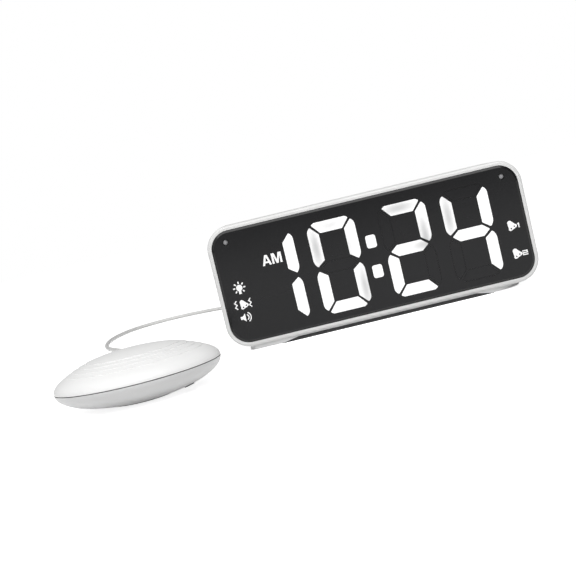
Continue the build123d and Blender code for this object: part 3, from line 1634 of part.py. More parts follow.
def coil_tie():
    """Flat band round the coil's right side."""
    right_x = coil_start_x + 2 * coil_outer_radius + cord_radius + tie_gap
    left_x = right_x - coil_half_turns_in / 2 * coil_pitch - 2 * (cord_radius + tie_gap)
    low_z = coil_low_z - cord_radius - tie_gap
    high_z = coil_high_z + cord_radius + tie_gap
    width = right_x - left_x
    height = high_z - low_z
    inner_corner = cord_radius + tie_gap
    inner = RectangleRounded(width, height, inner_corner)
    outer = RectangleRounded(width + 2 * tie_thickness, height + 2 * tie_thickness,
                             inner_corner + tie_thickness)
    band = Pos((left_x + right_x) / 2, (low_z + high_z) / 2) * (outer - inner)
    return front_slab(band, coil_place_y - tie_width / 2, coil_place_y + tie_width / 2)


def build_nodes():
    """Every named piece of the clock and its shaker."""
    nodes = {
        "front_bezel": front_bezel(),
        "display_panel": display_panel(),
        "unlit_bars": unlit_bars(),
        "colon_dots": colon_dots(),
        "indicator_signs": indicator_signs(),
        "flash_lamps": group(flash_lamp(place) for place in flash_places()),
        "light_guide": light_guide(),
        "led_board": led_board(),
        "display_leds": display_leds(),
        "rear_housing": rear_housing(),
        "base_plinth": base_plinth(),
        "rubber_pad": rubber_pad(),
        "case_screws": group([case_screws(), plinth_screws()]),
        "main_board": main_board(),
        "board_screws": board_screws(),
        "board_parts": group([control_chips(), ribbon_sockets()]),
        "display_ribbon": display_ribbon(),
        "speaker_basket": speaker_basket(),
        "speaker_cone": speaker_cone(),
        "speaker_magnet": speaker_magnet(),
        "snooze_button": snooze_button(),
        "push_switches": group([snooze_switch(), set_switches()]),
        "control_bodies": group([slide_switch_body(mode_slide_place),
                                 slide_switch_body(dimmer_slide_place), volume_body()]),
        "mode_slide_knob": slide_knob(mode_slide_place, 0),
        "dimmer_slide_knob": slide_knob(dimmer_slide_place, -slide_travel),
        "volume_shaft": volume_shaft(),
        "volume_knob": volume_knob(),
        "power_inlet": round_socket(power_place_x, power_bore_radius, power_bore_depth),
        "shaker_jack": round_socket(shaker_place_x, shaker_bore_radius, shaker_bore_depth),
        "socket_pins": socket_pins(),
        "battery_cap": battery_cap(),
        "backup_cell": backup_cell(),
        "cell_contact": cell_contact(),
        "shaker_top_shell": shaker_top_shell(),
        "shaker_bottom_shell": shaker_bottom_shell(),
        "shaker_feet": shaker_feet(),
        "shaker_screws": shaker_screws(),
        "motor_can": motor_can(),
        "motor_end_cap": motor_end_cap(),
        "motor_shaft": motor_shaft(),
        "eccentric_weight": eccentric_weight(),
        "motor_strap": motor_strap(),
        "motor_leads": motor_leads(),
        "cord_boot": cord_boot(),
        "shaker_cord": route_tube("shaker cord", cord_route, cord_radius),
        "cord_coil": cord_coil(),
        "coil_tie": coil_tie(),
        "plug_lead": route_tube("plug lead", lead_route, cord_radius),
        "shaker_plug": shaker_plug(),
        "plug_barrel": plug_barrel(),
    }
    for name in digit_table:
        nodes[name + "_bars"] = bars_of(name)
    for name, place in zip(set_button_names, set_button_places()):
        nodes[name + "_button"] = set_button(place)
    return nodes


for node_name, node_shape in build_nodes().items():
    export_step(node_shape, "parts/" + node_name + ".step")
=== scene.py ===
import math

import bpy
from mathutils import Matrix, Vector


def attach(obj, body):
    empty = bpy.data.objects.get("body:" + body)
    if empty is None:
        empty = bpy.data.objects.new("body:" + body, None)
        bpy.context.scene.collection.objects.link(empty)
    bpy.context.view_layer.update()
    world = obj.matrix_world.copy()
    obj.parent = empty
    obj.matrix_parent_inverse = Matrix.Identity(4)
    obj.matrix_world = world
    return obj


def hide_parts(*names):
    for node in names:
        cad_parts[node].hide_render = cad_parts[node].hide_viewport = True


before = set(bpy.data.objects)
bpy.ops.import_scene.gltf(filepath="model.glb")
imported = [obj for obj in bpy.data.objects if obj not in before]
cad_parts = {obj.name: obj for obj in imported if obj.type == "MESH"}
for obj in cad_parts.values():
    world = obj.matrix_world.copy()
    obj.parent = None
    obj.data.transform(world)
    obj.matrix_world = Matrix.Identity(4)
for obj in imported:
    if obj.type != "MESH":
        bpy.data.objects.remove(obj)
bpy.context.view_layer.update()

scene = bpy.context.scene
millimetre = 0.001

camera_place = Vector((-52.0, -705.8, 79.4)) * millimetre
camera_pitch = 4.1
camera_roll = 13.49
camera_lens = 75.0
camera_sensor = 36.0

camera_data = bpy.data.cameras.new("camera")
camera_data.lens = camera_lens
camera_data.sensor_width = camera_sensor
camera_data.clip_start = 0.01
camera = bpy.data.objects.new("camera", camera_data)
scene.collection.objects.link(camera)
tilt = Matrix.Rotation(math.radians(90 - camera_pitch), 4, "X")
roll = Matrix.Rotation(math.radians(-camera_roll), 4, "Z")
camera.matrix_world = Matrix.Translation(camera_place) @ tilt @ roll
scene.camera = camera
scene.view_settings.view_transform = "Standard"

room_colour = (1.0, 1.0, 1.0, 1.0)
room_strength = 0.34
seen_room_strength = 1.0
mirrored_room_strength = 0.22

world = bpy.data.worlds.new("studio")
scene.world = world
world.use_nodes = True
nodes = world.node_tree.nodes
links = world.node_tree.links
nodes.clear()
world_out = nodes.new("ShaderNodeOutputWorld")
room_light = nodes.new("ShaderNodeBackground")
seen_room = nodes.new("ShaderNodeBackground")
mirrored_room = nodes.new("ShaderNodeBackground")
ray_kind = nodes.new("ShaderNodeLightPath")
mix_mirrored = nodes.new("ShaderNodeMixShader")
mix_seen = nodes.new("ShaderNodeMixShader")
for background, strength in ((room_light, room_strength), (seen_room, seen_room_strength),
                             (mirrored_room, mirrored_room_strength)):
    background.inputs["Color"].default_value = room_colour
    background.inputs["Strength"].default_value = strength
links.new(ray_kind.outputs["Is Glossy Ray"], mix_mirrored.inputs["Fac"])
links.new(room_light.outputs["Background"], mix_mirrored.inputs[1])
links.new(mirrored_room.outputs["Background"], mix_mirrored.inputs[2])
links.new(ray_kind.outputs["Is Camera Ray"], mix_seen.inputs["Fac"])
links.new(mix_mirrored.outputs["Shader"], mix_seen.inputs[1])
links.new(seen_room.outputs["Background"], mix_seen.inputs[2])
links.new(mix_seen.outputs["Shader"], world_out.inputs["Surface"])


def soft_box(name, place, aim, width, height, power):
    """Large soft lamp that faces a point."""
    lamp_data = bpy.data.lights.new(name, "AREA")
    lamp_data.shape = "RECTANGLE"
    lamp_data.size = width
    lamp_data.size_y = height
    lamp_data.energy = power
    lamp = bpy.data.objects.new(name, lamp_data)
    scene.collection.objects.link(lamp)
    lamp.location = place
    lamp.rotation_mode = "QUATERNION"
    lamp.rotation_quaternion = (Vector(aim) - Vector(place)).to_track_quat("-Z", "Y")


stage_middle = (-0.05, 0.05, 0.03)
soft_box("key_light", (-0.10, -0.85, 1.38), stage_middle, 1.8, 1.1, 21.0)
soft_box("front_left_light", (-0.9, -1.2, 0.6), stage_middle, 0.9, 0.9, 2.0)

floor_size = 12.0
floor_grey = 0.80
floor_glow = 0.80
floor_data = bpy.data.meshes.new("table_top")
half_floor = floor_size / 2
floor_data.from_pydata(
    [(-half_floor, -half_floor, 0), (half_floor, -half_floor, 0),
     (half_floor, half_floor, 0), (-half_floor, half_floor, 0)], [], [(0, 1, 2, 3)])
table_top = bpy.data.objects.new("table_top", floor_data)
scene.collection.objects.link(table_top)
table_paint = bpy.data.materials.new("table_paint")
table_paint.use_nodes = True
nodes = table_paint.node_tree.nodes
links = table_paint.node_tree.links
nodes.clear()
table_out = nodes.new("ShaderNodeOutputMaterial")
table_matt = nodes.new("ShaderNodeBsdfDiffuse")
table_matt.inputs["Color"].default_value = (floor_grey, floor_grey, floor_grey, 1)
table_glow = nodes.new("ShaderNodeEmission")
table_glow.inputs["Strength"].default_value = floor_glow
seen_ray = nodes.new("ShaderNodeLightPath")
glow_rays = nodes.new("ShaderNodeMath")
glow_rays.operation = "ADD"
no_glow = nodes.new("ShaderNodeBsdfTransparent")
no_glow.inputs["Color"].default_value = (0, 0, 0, 1)
glow_mix = nodes.new("ShaderNodeMixShader")
table_sum = nodes.new("ShaderNodeAddShader")
links.new(seen_ray.outputs["Is Camera Ray"], glow_rays.inputs[0])
links.new(seen_ray.outputs["Is Glossy Ray"], glow_rays.inputs[1])
links.new(glow_rays.outputs["Value"], glow_mix.inputs["Fac"])
links.new(no_glow.outputs["BSDF"], glow_mix.inputs[1])
links.new(table_glow.outputs["Emission"], glow_mix.inputs[2])
links.new(table_matt.outputs["BSDF"], table_sum.inputs[0])
links.new(glow_mix.outputs["Shader"], table_sum.inputs[1])
links.new(table_sum.outputs["Shader"], table_out.inputs["Surface"])
floor_data.materials.append(table_paint)


# Shaker cord: a thin round white lead with a smooth soft sheath. It leaves the puck's boot, lies
# in one wide loop behind the clock, is wound into a tied coil, and rises to the plug in the back.
cord_radius = 1.5
coil_start_x = 20.0
coil_place_y = 110.0
coil_outer_radius = 25.0
coil_pitch = 3.45
coil_half_turns_in = 8
coil_low_z = 2.3
coil_high_z = 5.75
points_per_half_turn = 8

free_route = [
    (-135.0, -50.6, 12.4),
    (-135.0, -40.0, 12.4),
    (-134.6, -27.0, 9.2),
    (-134.9, -11.0, 3.6),
    (-136.9, 8.0, 1.5),
    (-139.4, 30.0, 1.5),
    (-146.5, 70.0, 1.5),
    (-160.0, 114.0, 1.5),
    (-179.5, 157.0, 1.5),
    (-196.0, 200.0, 1.5),
    (-202.5, 244.0, 1.5),
    (-202.5, 290.0, 1.5),
    (-191.0, 334.0, 1.5),
    (-162.0, 352.0, 1.5),
    (-130.0, 345.0, 1.5),
    (-98.0, 319.0, 1.5),
    (-66.0, 288.0, 1.5),
    (-36.0, 254.0, 1.5),
    (-10.0, 217.0, 1.5),
    (8.0, 182.0, 1.5),
    (18.0, 150.0, 1.8),
    (20.0, 128.0, 2.3),
    (20.0, 113.0, 2.3),
]
lead_route = [
    (20.0, 107.0, 5.75),
    (20.0, 100.0, 5.75),
    (20.8, 90.0, 7.2),
    (20.4, 79.5, 10.4),
    (19.7, 69.0, 13.6),
    (20.0, 60.0, 15.0),
    (20.0, 52.3, 15.0),
]


def coil_turns():
    """Control points of the coil: in to the middle in the lower layer, up, and out again above."""
    spread = 1 / math.cos(math.pi / (2 * points_per_half_turn))
    radii = [coil_outer_radius - step * coil_pitch / 2 for step in range(coil_half_turns_in + 1)]
    radii += radii[-2:0:-1]
    turn_points = []
    x = coil_start_x
    side = 1
    for turn, radius in enumerate(radii):
        middle_x = x + side * radius
        for step in range(points_per_half_turn):
            share = (step + 0.5) / points_per_half_turn
            angle = math.pi * share
            if turn < coil_half_turns_in:
                z = coil_low_z
            elif turn == coil_half_turns_in:
                z = coil_low_z + (coil_high_z - coil_low_z) * share
            else:
                z = coil_high_z
            reach = radius * spread
            turn_points.append((middle_x - side * reach * math.cos(angle),
                                coil_place_y - side * reach * math.sin(angle), z))
        x += side * 2 * radius
        side = -side
    return turn_points


cord_points = free_route + coil_turns() + lead_route
cord_data = bpy.data.curves.new("cord", "CURVE")
cord_data.dimensions = "3D"
cord_line = cord_data.splines.new("NURBS")
cord_line.points.add(len(cord_points) - 1)
for line_point, place in zip(cord_line.points, cord_points):
    line_point.co = (*(Vector(place) * millimetre), 1)
cord_line.order_u = 3
cord_line.use_endpoint_u = True
cord_line.resolution_u = 8
cord_data.resolution_u = 8
cord_data.bevel_depth = cord_radius * millimetre
cord_data.bevel_resolution = 6
cord_data.use_fill_caps = True
cord = bpy.data.objects.new("cord", cord_data)
scene.collection.objects.link(cord)


def moulded_skin_group():
    """Colour, roughness and height of a moulded surface: broad mottling and a fine grain."""
    group = bpy.data.node_groups.new("moulded_skin", "ShaderNodeTree")
    for socket, kind, value in (
            ("Colour", "NodeSocketColor", (0.8, 0.8, 0.8, 1)),
            ("Shade", "NodeSocketColor", (0.7, 0.7, 0.7, 1)),
            ("Mottle", "NodeSocketFloat", 0.3), ("Grain size", "NodeSocketFloat", 0.0006),
            ("Patch size", "NodeSocketFloat", 0.02), ("Roughness", "NodeSocketFloat", 0.4),
            ("Spread", "NodeSocketFloat", 0.1)):
        group.interface.new_socket(socket, in_out="INPUT", socket_type=kind).default_value = value
    for socket, kind in (("Colour", "NodeSocketColor"), ("Roughness", "NodeSocketFloat"),
                         ("Height", "NodeSocketFloat")):
        group.interface.new_socket(socket, in_out="OUTPUT", socket_type=kind)
    nodes = group.nodes
    links = group.links
    given = nodes.new("NodeGroupInput")
    result = nodes.new("NodeGroupOutput")
    place = nodes.new("ShaderNodeTexCoord")
    noises = {}
    for name, detail in (("Grain size", 3.0), ("Patch size", 2.0)):
        scale = nodes.new("ShaderNodeMath")
        scale.operation = "DIVIDE"
        scale.inputs[0].default_value = 1.0
        noise = nodes.new("ShaderNodeTexNoise")
        noise.inputs["Detail"].default_value = detail
        links.new(given.outputs[name], scale.inputs[1])
        links.new(place.outputs["Object"], noise.inputs["Vector"])
        links.new(scale.outputs["Value"], noise.inputs["Scale"])
        noises[name] = noise
    patch_share = nodes.new("ShaderNodeMapRange")
    patch_share.inputs["From Min"].default_value = 0.35
    patch_share.inputs["From Max"].default_value = 0.65
    amount = nodes.new("ShaderNodeMath")
    amount.operation = "MULTIPLY"
    paint = nodes.new("ShaderNodeMix")
    paint.data_type = "RGBA"
    centred = nodes.new("ShaderNodeMath")
    centred.operation = "SUBTRACT"
    centred.inputs[1].default_value = 0.5
    rough = nodes.new("ShaderNodeMath")
    rough.operation = "MULTIPLY_ADD"
    links.new(noises["Patch size"].outputs["Fac"], patch_share.inputs["Value"])
    links.new(patch_share.outputs["Result"], amount.inputs[0])
    links.new(given.outputs["Mottle"], amount.inputs[1])
    links.new(amount.outputs["Value"], paint.inputs["Factor"])
    links.new(given.outputs["Colour"], paint.inputs["A"])
    links.new(given.outputs["Shade"], paint.inputs["B"])
    links.new(noises["Grain size"].outputs["Fac"], centred.inputs[0])
    links.new(centred.outputs["Value"], rough.inputs[0])
    links.new(given.outputs["Spread"], rough.inputs[1])
    links.new(given.outputs["Roughness"], rough.inputs[2])
    links.new(paint.outputs["Result"], result.inputs["Colour"])
    links.new(rough.outputs["Value"], result.inputs["Roughness"])
    links.new(noises["Grain size"].outputs["Fac"], result.inputs["Height"])
    return group


moulded_skin = moulded_skin_group()


def moulded_finish(name, colour, shade, mottle=0.3, grain=0.0006, patch=0.02, roughness=0.4,
                   spread=0.1, relief=0.00001, metallic=0.0, specular=0.5):
    """Finish with mottled colour, uneven gloss and a fine grain, each in real size."""
    finish = bpy.data.materials.new(name)
    finish.use_nodes = True
    nodes = finish.node_tree.nodes
    links = finish.node_tree.links
    shader = nodes["Principled BSDF"]
    shader.inputs["Metallic"].default_value = metallic
    shader.inputs["Specular IOR Level"].default_value = specular
    skin = nodes.new("ShaderNodeGroup")
    skin.name = "skin"
    skin.node_tree = moulded_skin
    skin.inputs["Colour"].default_value = (*colour, 1)
    skin.inputs["Shade"].default_value = (*shade, 1)
    skin.inputs["Mottle"].default_value = mottle
    skin.inputs["Grain size"].default_value = grain
    skin.inputs["Patch size"].default_value = patch
    skin.inputs["Roughness"].default_value = roughness
    skin.inputs["Spread"].default_value = spread
    bump = nodes.new("ShaderNodeBump")
    bump.inputs["Distance"].default_value = relief
    links.new(skin.outputs["Colour"], shader.inputs["Base Color"])
    links.new(skin.outputs["Roughness"], shader.inputs["Roughness"])
    links.new(skin.outputs["Height"], bump.inputs["Height"])
    links.new(bump.outputs["Normal"], shader.inputs["Normal"])
    return finish


def dress(names, finish):
    """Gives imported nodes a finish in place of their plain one."""
    for name in names:
        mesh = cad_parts[name].data
        mesh.materials.clear()
        mesh.materials.append(finish)


cord_sheath = moulded_finish("cord_sheath", (0.76, 0.76, 0.75), (0.69, 0.69, 0.68), mottle=0.25,
                             grain=0.0009, patch=0.03, roughness=0.42, spread=0.12, relief=0.00001)
cord_data.materials.append(cord_sheath)
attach(cord, "clock_and_shaker")
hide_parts("shaker_cord", "cord_coil", "plug_lead")


# Boot, plug and tie: soft white rubber sleeves moulded round the cord, with ring grooves, a
# plated barrel in the jack, and a black nylon band that holds the coil together.
soft_rubber = moulded_finish("soft_white_rubber", (0.84, 0.84, 0.83), (0.74, 0.74, 0.73),
                             mottle=0.35, grain=0.0005, patch=0.008, roughness=0.58, spread=0.15,
                             relief=0.00002)
dress(["cord_boot", "shaker_plug"], soft_rubber)
plated_brass = moulded_finish("plated_metal", (0.72, 0.72, 0.73), (0.55, 0.55, 0.56), mottle=0.4,
                              grain=0.0004, patch=0.004, roughness=0.2, spread=0.15,
                              relief=0.000002, metallic=1.0)
dress(["plug_barrel", "socket_pins", "cell_contact"], plated_brass)
nylon_band = moulded_finish("nylon_band", (0.03, 0.03, 0.032), (0.05, 0.05, 0.052), mottle=0.6,
                            grain=0.0004, patch=0.003, roughness=0.5, spread=0.2, relief=0.00003)
dress(["coil_tie"], nylon_band)


# Case: front bezel, rear housing and turn cap, injection moulded in white ABS with a satin
# surface; the back wall has a slightly coarser spark texture than the bezel.
# Painted shade: the bezel is the same white ABS as the housing, painted greyer for the shade on
# it.
case_plastic = moulded_finish("case_plastic", (0.78, 0.78, 0.775), (0.73, 0.73, 0.725),
                              mottle=0.3, grain=0.0005, patch=0.03, roughness=0.34, spread=0.1,
                              relief=0.000006)
dress(["front_bezel"], case_plastic)
housing_plastic = moulded_finish("housing_plastic", (0.87, 0.87, 0.865), (0.81, 0.81, 0.805),
                                 mottle=0.3, grain=0.0004, patch=0.03, roughness=0.48,
                                 spread=0.14, relief=0.00002)
dress(["rear_housing", "battery_cap"], housing_plastic)
# Painted shade: the plinth is the same white plastic, painted greyer for the shade under the
# bezel.
plinth_plastic = moulded_finish("plinth_plastic", (0.72, 0.72, 0.72), (0.62, 0.62, 0.62),
                                mottle=0.35, grain=0.0004, patch=0.02, roughness=0.5,
                                spread=0.12, relief=0.00001)
dress(["base_plinth"], plinth_plastic)
pad_rubber = moulded_finish("pad_rubber", (0.016, 0.016, 0.017), (0.03, 0.03, 0.03), mottle=0.6,
                            grain=0.0005, patch=0.006, roughness=0.72, spread=0.2,
                            relief=0.00004)
dress(["rubber_pad"], pad_rubber)


# Display panel: a black acrylic plate, polished, with a diamond-cut edge that shines more than
# its face and carries a faint painted highlight, a lighter base colour. The bars that aren't lit
# are smoked diffusers that look the same as the plate.
panel_acrylic = moulded_finish("panel_acrylic", (0.006, 0.006, 0.007), (0.009, 0.009, 0.010),
                               mottle=0.5, grain=0.004, patch=0.05, roughness=0.16, spread=0.04,
                               relief=0.000001, specular=0.25)
dress(["display_panel", "unlit_bars"], panel_acrylic)


cut_edge_roughness = 0.16


def slant_gloss_and_painted_highlight(finish, grey, gloss):
    """Glossier where the plate's rim is cut at a slant, with a painted highlight: a lighter base
    colour.
    """
    nodes = finish.node_tree.nodes
    links = finish.node_tree.links
    shader = nodes["Principled BSDF"]
    place = nodes.new("ShaderNodeTexCoord")
    facing = nodes.new("ShaderNodeSeparateXYZ")
    slant = nodes.new("ShaderNodeMapRange")
    slant.inputs["From Min"].default_value = -0.98
    slant.inputs["From Max"].default_value = -0.90
    shine = nodes.new("ShaderNodeMath")
    shine.operation = "MULTIPLY"
    shine.inputs[1].default_value = gloss
    shader.inputs["Coat Roughness"].default_value = cut_edge_roughness
    paint = nodes.new("ShaderNodeMix")
    paint.data_type = "RGBA"
    paint.inputs["B"].default_value = (grey, grey, grey, 1)
    links.new(place.outputs["Normal"], facing.inputs["Vector"])
    links.new(facing.outputs["Y"], slant.inputs["Value"])
    links.new(slant.outputs["Result"], shine.inputs[0])
    links.new(slant.outputs["Result"], paint.inputs["Factor"])
    links.new(nodes["skin"].outputs["Colour"], paint.inputs["A"])
    links.new(paint.outputs["Result"], shader.inputs["Base Color"])
    links.new(shine.outputs["Value"], shader.inputs["Coat Weight"])


# Painted highlight on the slanted rim: its base colour is raised to this grey, on top of the coat
# gloss.
slant_gloss_and_painted_highlight(panel_acrylic, 0.008, 0.3)


# Lit parts of the display: milk-white diffusers with LEDs behind them, with painted shade in
# greyer bands on some bars, and printed signs that light up the same way. The two flash lamps are
# off.
diffuser_patch_scale = 60.0
diffuser_shade = 0.97
band_shade_base_grey = 0.42
band_shade_glow_grey = 0.16


def glowing_finish(name, colour, glow, dim):
    """Milky diffuser that glows evenly, a little weaker in soft patches."""
    finish = moulded_finish(name, colour, [value * diffuser_shade for value in colour], mottle=0.3,
                            grain=0.0006, patch=0.006, roughness=0.5, spread=0.1,
                            relief=0.000004)
    nodes = finish.node_tree.nodes
    links = finish.node_tree.links
    shader = nodes["Principled BSDF"]
    patches = nodes.new("ShaderNodeTexNoise")
    place = nodes.new("ShaderNodeTexCoord")
    patches.inputs["Scale"].default_value = diffuser_patch_scale
    weak = nodes.new("ShaderNodeMix")
    weak.data_type = "RGBA"
    weak.inputs["A"].default_value = (glow, glow, glow, 1)
    weak.inputs["B"].default_value = (dim, dim, dim, 1)
    links.new(place.outputs["Object"], patches.inputs["Vector"])
    links.new(patches.outputs["Fac"], weak.inputs["Factor"])
    links.new(weak.outputs["Result"], shader.inputs["Emission Color"])
    shader.inputs["Emission Strength"].default_value = 1.0
    return finish


bar_glow = glowing_finish("bar_diffuser", (0.86, 0.86, 0.86), 0.40, 0.36)


def paint_bar_shade_bands(finish, bands):
    """Painted shade in greyer bands on the bars, for their shading and reflections: middle, half
    sizes and depth of each.
    """
    nodes = finish.node_tree.nodes
    links = finish.node_tree.links
    shader = nodes["Principled BSDF"]
    place = nodes.new("ShaderNodeTexCoord")
    strongest = None
    for x, z, half_width, half_height, depth in bands:
        turned = nodes.new("ShaderNodeMapping")
        turned.vector_type = "TEXTURE"
        turned.inputs["Location"].default_value = (x * millimetre, 0, z * millimetre)
        turned.inputs["Scale"].default_value = (half_width * millimetre, 1,
                                                half_height * millimetre)
        away = nodes.new("ShaderNodeVectorMath")
        away.operation = "LENGTH"
        band = nodes.new("ShaderNodeMapRange")
        band.interpolation_type = "SMOOTHSTEP"
        band.inputs["From Min"].default_value = 1.0
        band.inputs["From Max"].default_value = 0.0
        band.inputs["To Max"].default_value = depth
        links.new(place.outputs["Object"], turned.inputs["Vector"])
        links.new(turned.outputs["Vector"], away.inputs[0])
        links.new(away.outputs["Value"], band.inputs["Value"])
        if strongest is None:
            strongest = band.outputs["Result"]
            continue
        greater = nodes.new("ShaderNodeMath")
        greater.operation = "MAXIMUM"
        links.new(strongest, greater.inputs[0])
        links.new(band.outputs["Result"], greater.inputs[1])
        strongest = greater.outputs["Value"]
    for socket, grey in (("Base Color", band_shade_base_grey), ("Emission Color", band_shade_glow_grey)):
        bright = shader.inputs[socket].links[0].from_socket
        paint = nodes.new("ShaderNodeMix")
        paint.data_type = "RGBA"
        paint.inputs["B"].default_value = (grey, grey, grey, 1)
        links.new(strongest, paint.inputs["Factor"])
        links.new(bright, paint.inputs["A"])
        links.new(paint.outputs["Result"], shader.inputs[socket])


# Painted shade bands on the lit bars, darkening both their colour and their glow.
paint_bar_shade_bands(bar_glow, [
    (19.5, 60.2, 17.0, 5.0, 0.8),
    (31.2, 40.0, 4.6, 22.0, 0.9),
    (30.0, 36.5, 13.0, 4.6, 0.8),
    (46.2, 49.0, 4.6, 20.0, 0.8),
    (-31.2, 48.5, 4.6, 19.0, 0.85),
    (-8.8, 21.0, 4.4, 20.0, 0.8),
    (-20.5, 59.8, 14.0, 4.6, 0.45),
    (-12.0, 46.0, 3.0, 14.0, 0.4),
])
dress(["hour_tens_bars", "hour_units_bars", "minute_tens_bars", "minute_units_bars",
       "colon_dots"], bar_glow)
sign_glow = glowing_finish("sign_print", (0.82, 0.82, 0.82), 0.30, 0.26)
dress(["indicator_signs"], sign_glow)

lamp_resin = moulded_finish("lamp_resin", (0.30, 0.30, 0.31), (0.16, 0.16, 0.165), mottle=0.6,
                            grain=0.0003, patch=0.0012, roughness=0.18, spread=0.08,
                            relief=0.000003)
dress(["flash_lamps"], lamp_resin)


# Inside the display: the white light guide, the boards with their LEDs, and the ribbon. The
# boards' tracks are a plain brick pattern under the green mask.
track_scale = 120.0
track_width_share = 0.03
guide_plastic = moulded_finish("guide_plastic", (0.84, 0.84, 0.82), (0.78, 0.78, 0.76),
                               mottle=0.4, grain=0.0005, patch=0.01, roughness=0.55, spread=0.1,
                               relief=0.00001)
dress(["light_guide"], guide_plastic)


def board_finish():
    """Green solder mask with fine copper tracks just visible under it."""
    finish = moulded_finish("board_laminate", (0.015, 0.11, 0.045), (0.012, 0.09, 0.038),
                            mottle=0.5, grain=0.0004, patch=0.01, roughness=0.32, spread=0.1,
                            relief=0.000004)
    nodes = finish.node_tree.nodes
    links = finish.node_tree.links
    shader = nodes["Principled BSDF"]
    place = nodes.new("ShaderNodeTexCoord")
    tracks = nodes.new("ShaderNodeTexBrick")
    tracks.inputs["Scale"].default_value = track_scale
    tracks.inputs["Mortar Size"].default_value = track_width_share
    tracks.inputs["Color1"].default_value = (0, 0, 0, 1)
    tracks.inputs["Color2"].default_value = (0, 0, 0, 1)
    tracks.inputs["Mortar"].default_value = (1, 1, 1, 1)
    turn = nodes.new("ShaderNodeMapping")
    turn.inputs["Rotation"].default_value = (math.pi / 2, 0, 0)
    paint = nodes.new("ShaderNodeMix")
    paint.data_type = "RGBA"
    paint.inputs["B"].default_value = (0.03, 0.19, 0.07, 1)
    links.new(place.outputs["Object"], turn.inputs["Vector"])
    links.new(turn.outputs["Vector"], tracks.inputs["Vector"])
    links.new(tracks.outputs["Color"], paint.inputs["Factor"])
    links.new(nodes["skin"].outputs["Colour"], paint.inputs["A"])
    links.new(paint.outputs["Result"], shader.inputs["Base Color"])
    return finish


dress(["led_board", "main_board"], board_finish())
led_resin = moulded_finish("led_resin", (0.85, 0.80, 0.52), (0.90, 0.88, 0.75), mottle=0.6,
                           grain=0.0003, patch=0.001, roughness=0.3, spread=0.1,
                           relief=0.000003)
dress(["display_leds"], led_resin)
ribbon_vinyl = moulded_finish("ribbon_vinyl", (0.52, 0.53, 0.55), (0.42, 0.43, 0.45), mottle=0.5,
                              grain=0.0006, patch=0.0013, roughness=0.5, spread=0.1,
                              relief=0.00002)
dress(["display_ribbon"], ribbon_vinyl)


# Parts on the boards: black epoxy packages and moulded sockets.
chip_epoxy = moulded_finish("chip_epoxy", (0.025, 0.025, 0.027), (0.04, 0.04, 0.042), mottle=0.5,
                            grain=0.0002, patch=0.003, roughness=0.6, spread=0.15,
                            relief=0.00001)
dress(["board_parts", "motor_end_cap"], chip_epoxy)
switch_plastic = moulded_finish("switch_plastic", (0.03, 0.03, 0.03), (0.045, 0.045, 0.045),
                                mottle=0.5, grain=0.0003, patch=0.004, roughness=0.42,
                                spread=0.12, relief=0.000008)
dress(["push_switches", "control_bodies", "mode_slide_knob", "dimmer_slide_knob", "power_inlet",
       "shaker_jack"], switch_plastic)


# Screws: zinc-plated steel with a fine turned grain.
zinc_steel = moulded_finish("zinc_steel", (0.56, 0.57, 0.58), (0.45, 0.46, 0.48), mottle=0.5,
                            grain=0.0003, patch=0.002, roughness=0.32, spread=0.2,
                            relief=0.000006, metallic=1.0)
dress(["case_screws", "board_screws", "shaker_screws", "volume_shaft", "motor_shaft"], zinc_steel)


# Buttons and knob: light grey ABS, slightly rougher where fingers touch.
button_plastic = moulded_finish("button_plastic", (0.74, 0.74, 0.735), (0.66, 0.66, 0.655),
                                mottle=0.4, grain=0.0004, patch=0.006, roughness=0.45,
                                spread=0.14, relief=0.00001)
set_buttons = ["time", "alarm_one", "alarm_two", "minus", "plus", "lamp"]
dress(["snooze_button", "volume_knob"] + [name + "_button" for name in set_buttons],
      button_plastic)


# Loudspeaker: a pressed black basket, a felted paper cone and a ferrite magnet.
basket_paint = moulded_finish("basket_paint", (0.08, 0.08, 0.085), (0.12, 0.12, 0.12),
                              mottle=0.4, grain=0.0004, patch=0.006, roughness=0.38, spread=0.1,
                              relief=0.00001, specular=0.6)
dress(["speaker_basket", "motor_strap"], basket_paint)
cone_paper = moulded_finish("cone_paper", (0.035, 0.034, 0.033), (0.06, 0.058, 0.055),
                            mottle=0.7, grain=0.0007, patch=0.002, roughness=0.85, spread=0.1,
                            relief=0.00008, specular=0.2)
dress(["speaker_cone"], cone_paper)
ferrite = moulded_finish("ferrite", (0.10, 0.10, 0.105), (0.16, 0.16, 0.165), mottle=0.6,
                         grain=0.0003, patch=0.003, roughness=0.55, spread=0.2, relief=0.00001,
                         metallic=0.6)
dress(["speaker_magnet"], ferrite)


# Coin cell, motor and weight: drawn and sintered steel.
drawn_steel = moulded_finish("drawn_steel", (0.60, 0.60, 0.61), (0.50, 0.50, 0.51), mottle=0.4,
                             grain=0.0005, patch=0.004, roughness=0.26, spread=0.14,
                             relief=0.000004, metallic=1.0)
dress(["backup_cell", "motor_can"], drawn_steel)
sintered_steel = moulded_finish("sintered_steel", (0.36, 0.35, 0.34), (0.26, 0.25, 0.24),
                                mottle=0.7, grain=0.0003, patch=0.0015, roughness=0.5,
                                spread=0.2, relief=0.00003, metallic=1.0)
dress(["eccentric_weight"], sintered_steel)
lead_vinyl = moulded_finish("lead_vinyl", (0.45, 0.02, 0.02), (0.38, 0.015, 0.015), mottle=0.4,
                            grain=0.0004, patch=0.004, roughness=0.4, spread=0.1,
                            relief=0.000008)
dress(["motor_leads"], lead_vinyl)
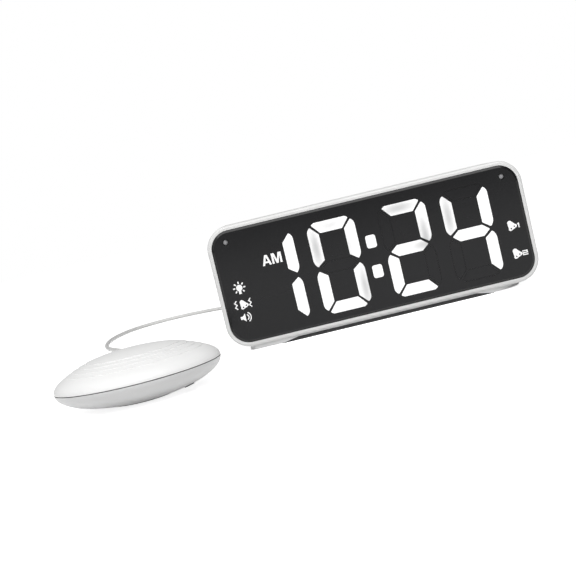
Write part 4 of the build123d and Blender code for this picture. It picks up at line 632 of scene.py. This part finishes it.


# Shaker puck: two white ABS shells that meet in a parting groove with painted shade in it, on a
# dark rubber ring, with a rubber plug in each screw well.
# Painted shade: grey of the groove band on both shells.
groove_painted_shade_grey = 0.10


def puck_finish_with_painted_groove_shade(name, colour, shade, shade_band_low, shade_band_high):
    """Case plastic with painted shade in its parting groove: a band between two heights is painted
    dark.
    """
    finish = moulded_finish(name, colour, shade, mottle=0.3, grain=0.0005, patch=0.02,
                            roughness=0.4, spread=0.1, relief=0.000008)
    nodes = finish.node_tree.nodes
    links = finish.node_tree.links
    shader = nodes["Principled BSDF"]
    place = nodes.new("ShaderNodeTexCoord")
    height = nodes.new("ShaderNodeSeparateXYZ")
    above = nodes.new("ShaderNodeMath")
    above.operation = "GREATER_THAN"
    above.inputs[1].default_value = shade_band_low
    below = nodes.new("ShaderNodeMath")
    below.operation = "LESS_THAN"
    below.inputs[1].default_value = shade_band_high
    inside = nodes.new("ShaderNodeMath")
    inside.operation = "MULTIPLY"
    paint = nodes.new("ShaderNodeMix")
    paint.data_type = "RGBA"
    paint.inputs["B"].default_value = (groove_painted_shade_grey, groove_painted_shade_grey, groove_painted_shade_grey, 1)
    links.new(place.outputs["Object"], height.inputs["Vector"])
    links.new(height.outputs["Z"], above.inputs[0])
    links.new(height.outputs["Z"], below.inputs[0])
    links.new(above.outputs["Value"], inside.inputs[0])
    links.new(below.outputs["Value"], inside.inputs[1])
    links.new(inside.outputs["Value"], paint.inputs["Factor"])
    links.new(nodes["skin"].outputs["Colour"], paint.inputs["A"])
    links.new(paint.outputs["Result"], shader.inputs["Base Color"])
    return finish


dress(["shaker_top_shell"], puck_finish_with_painted_groove_shade("puck_top_plastic", (0.91, 0.91, 0.905),
                                        (0.87, 0.87, 0.865), 0.01230, 0.01261))
# Painted shade: the lower shell is the same white ABS as the top one, painted greyer for the shade
# it sits in.
dress(["shaker_bottom_shell"], puck_finish_with_painted_groove_shade("puck_low_plastic", (0.72, 0.72, 0.72),
                                           (0.67, 0.67, 0.67), 0.01219, 0.01460))
ring_rubber = moulded_finish("ring_rubber", (0.035, 0.035, 0.036), (0.055, 0.055, 0.055),
                             mottle=0.5, grain=0.0005, patch=0.005, roughness=0.7, spread=0.15,
                             relief=0.00003)
dress(["shaker_feet"], ring_rubber)
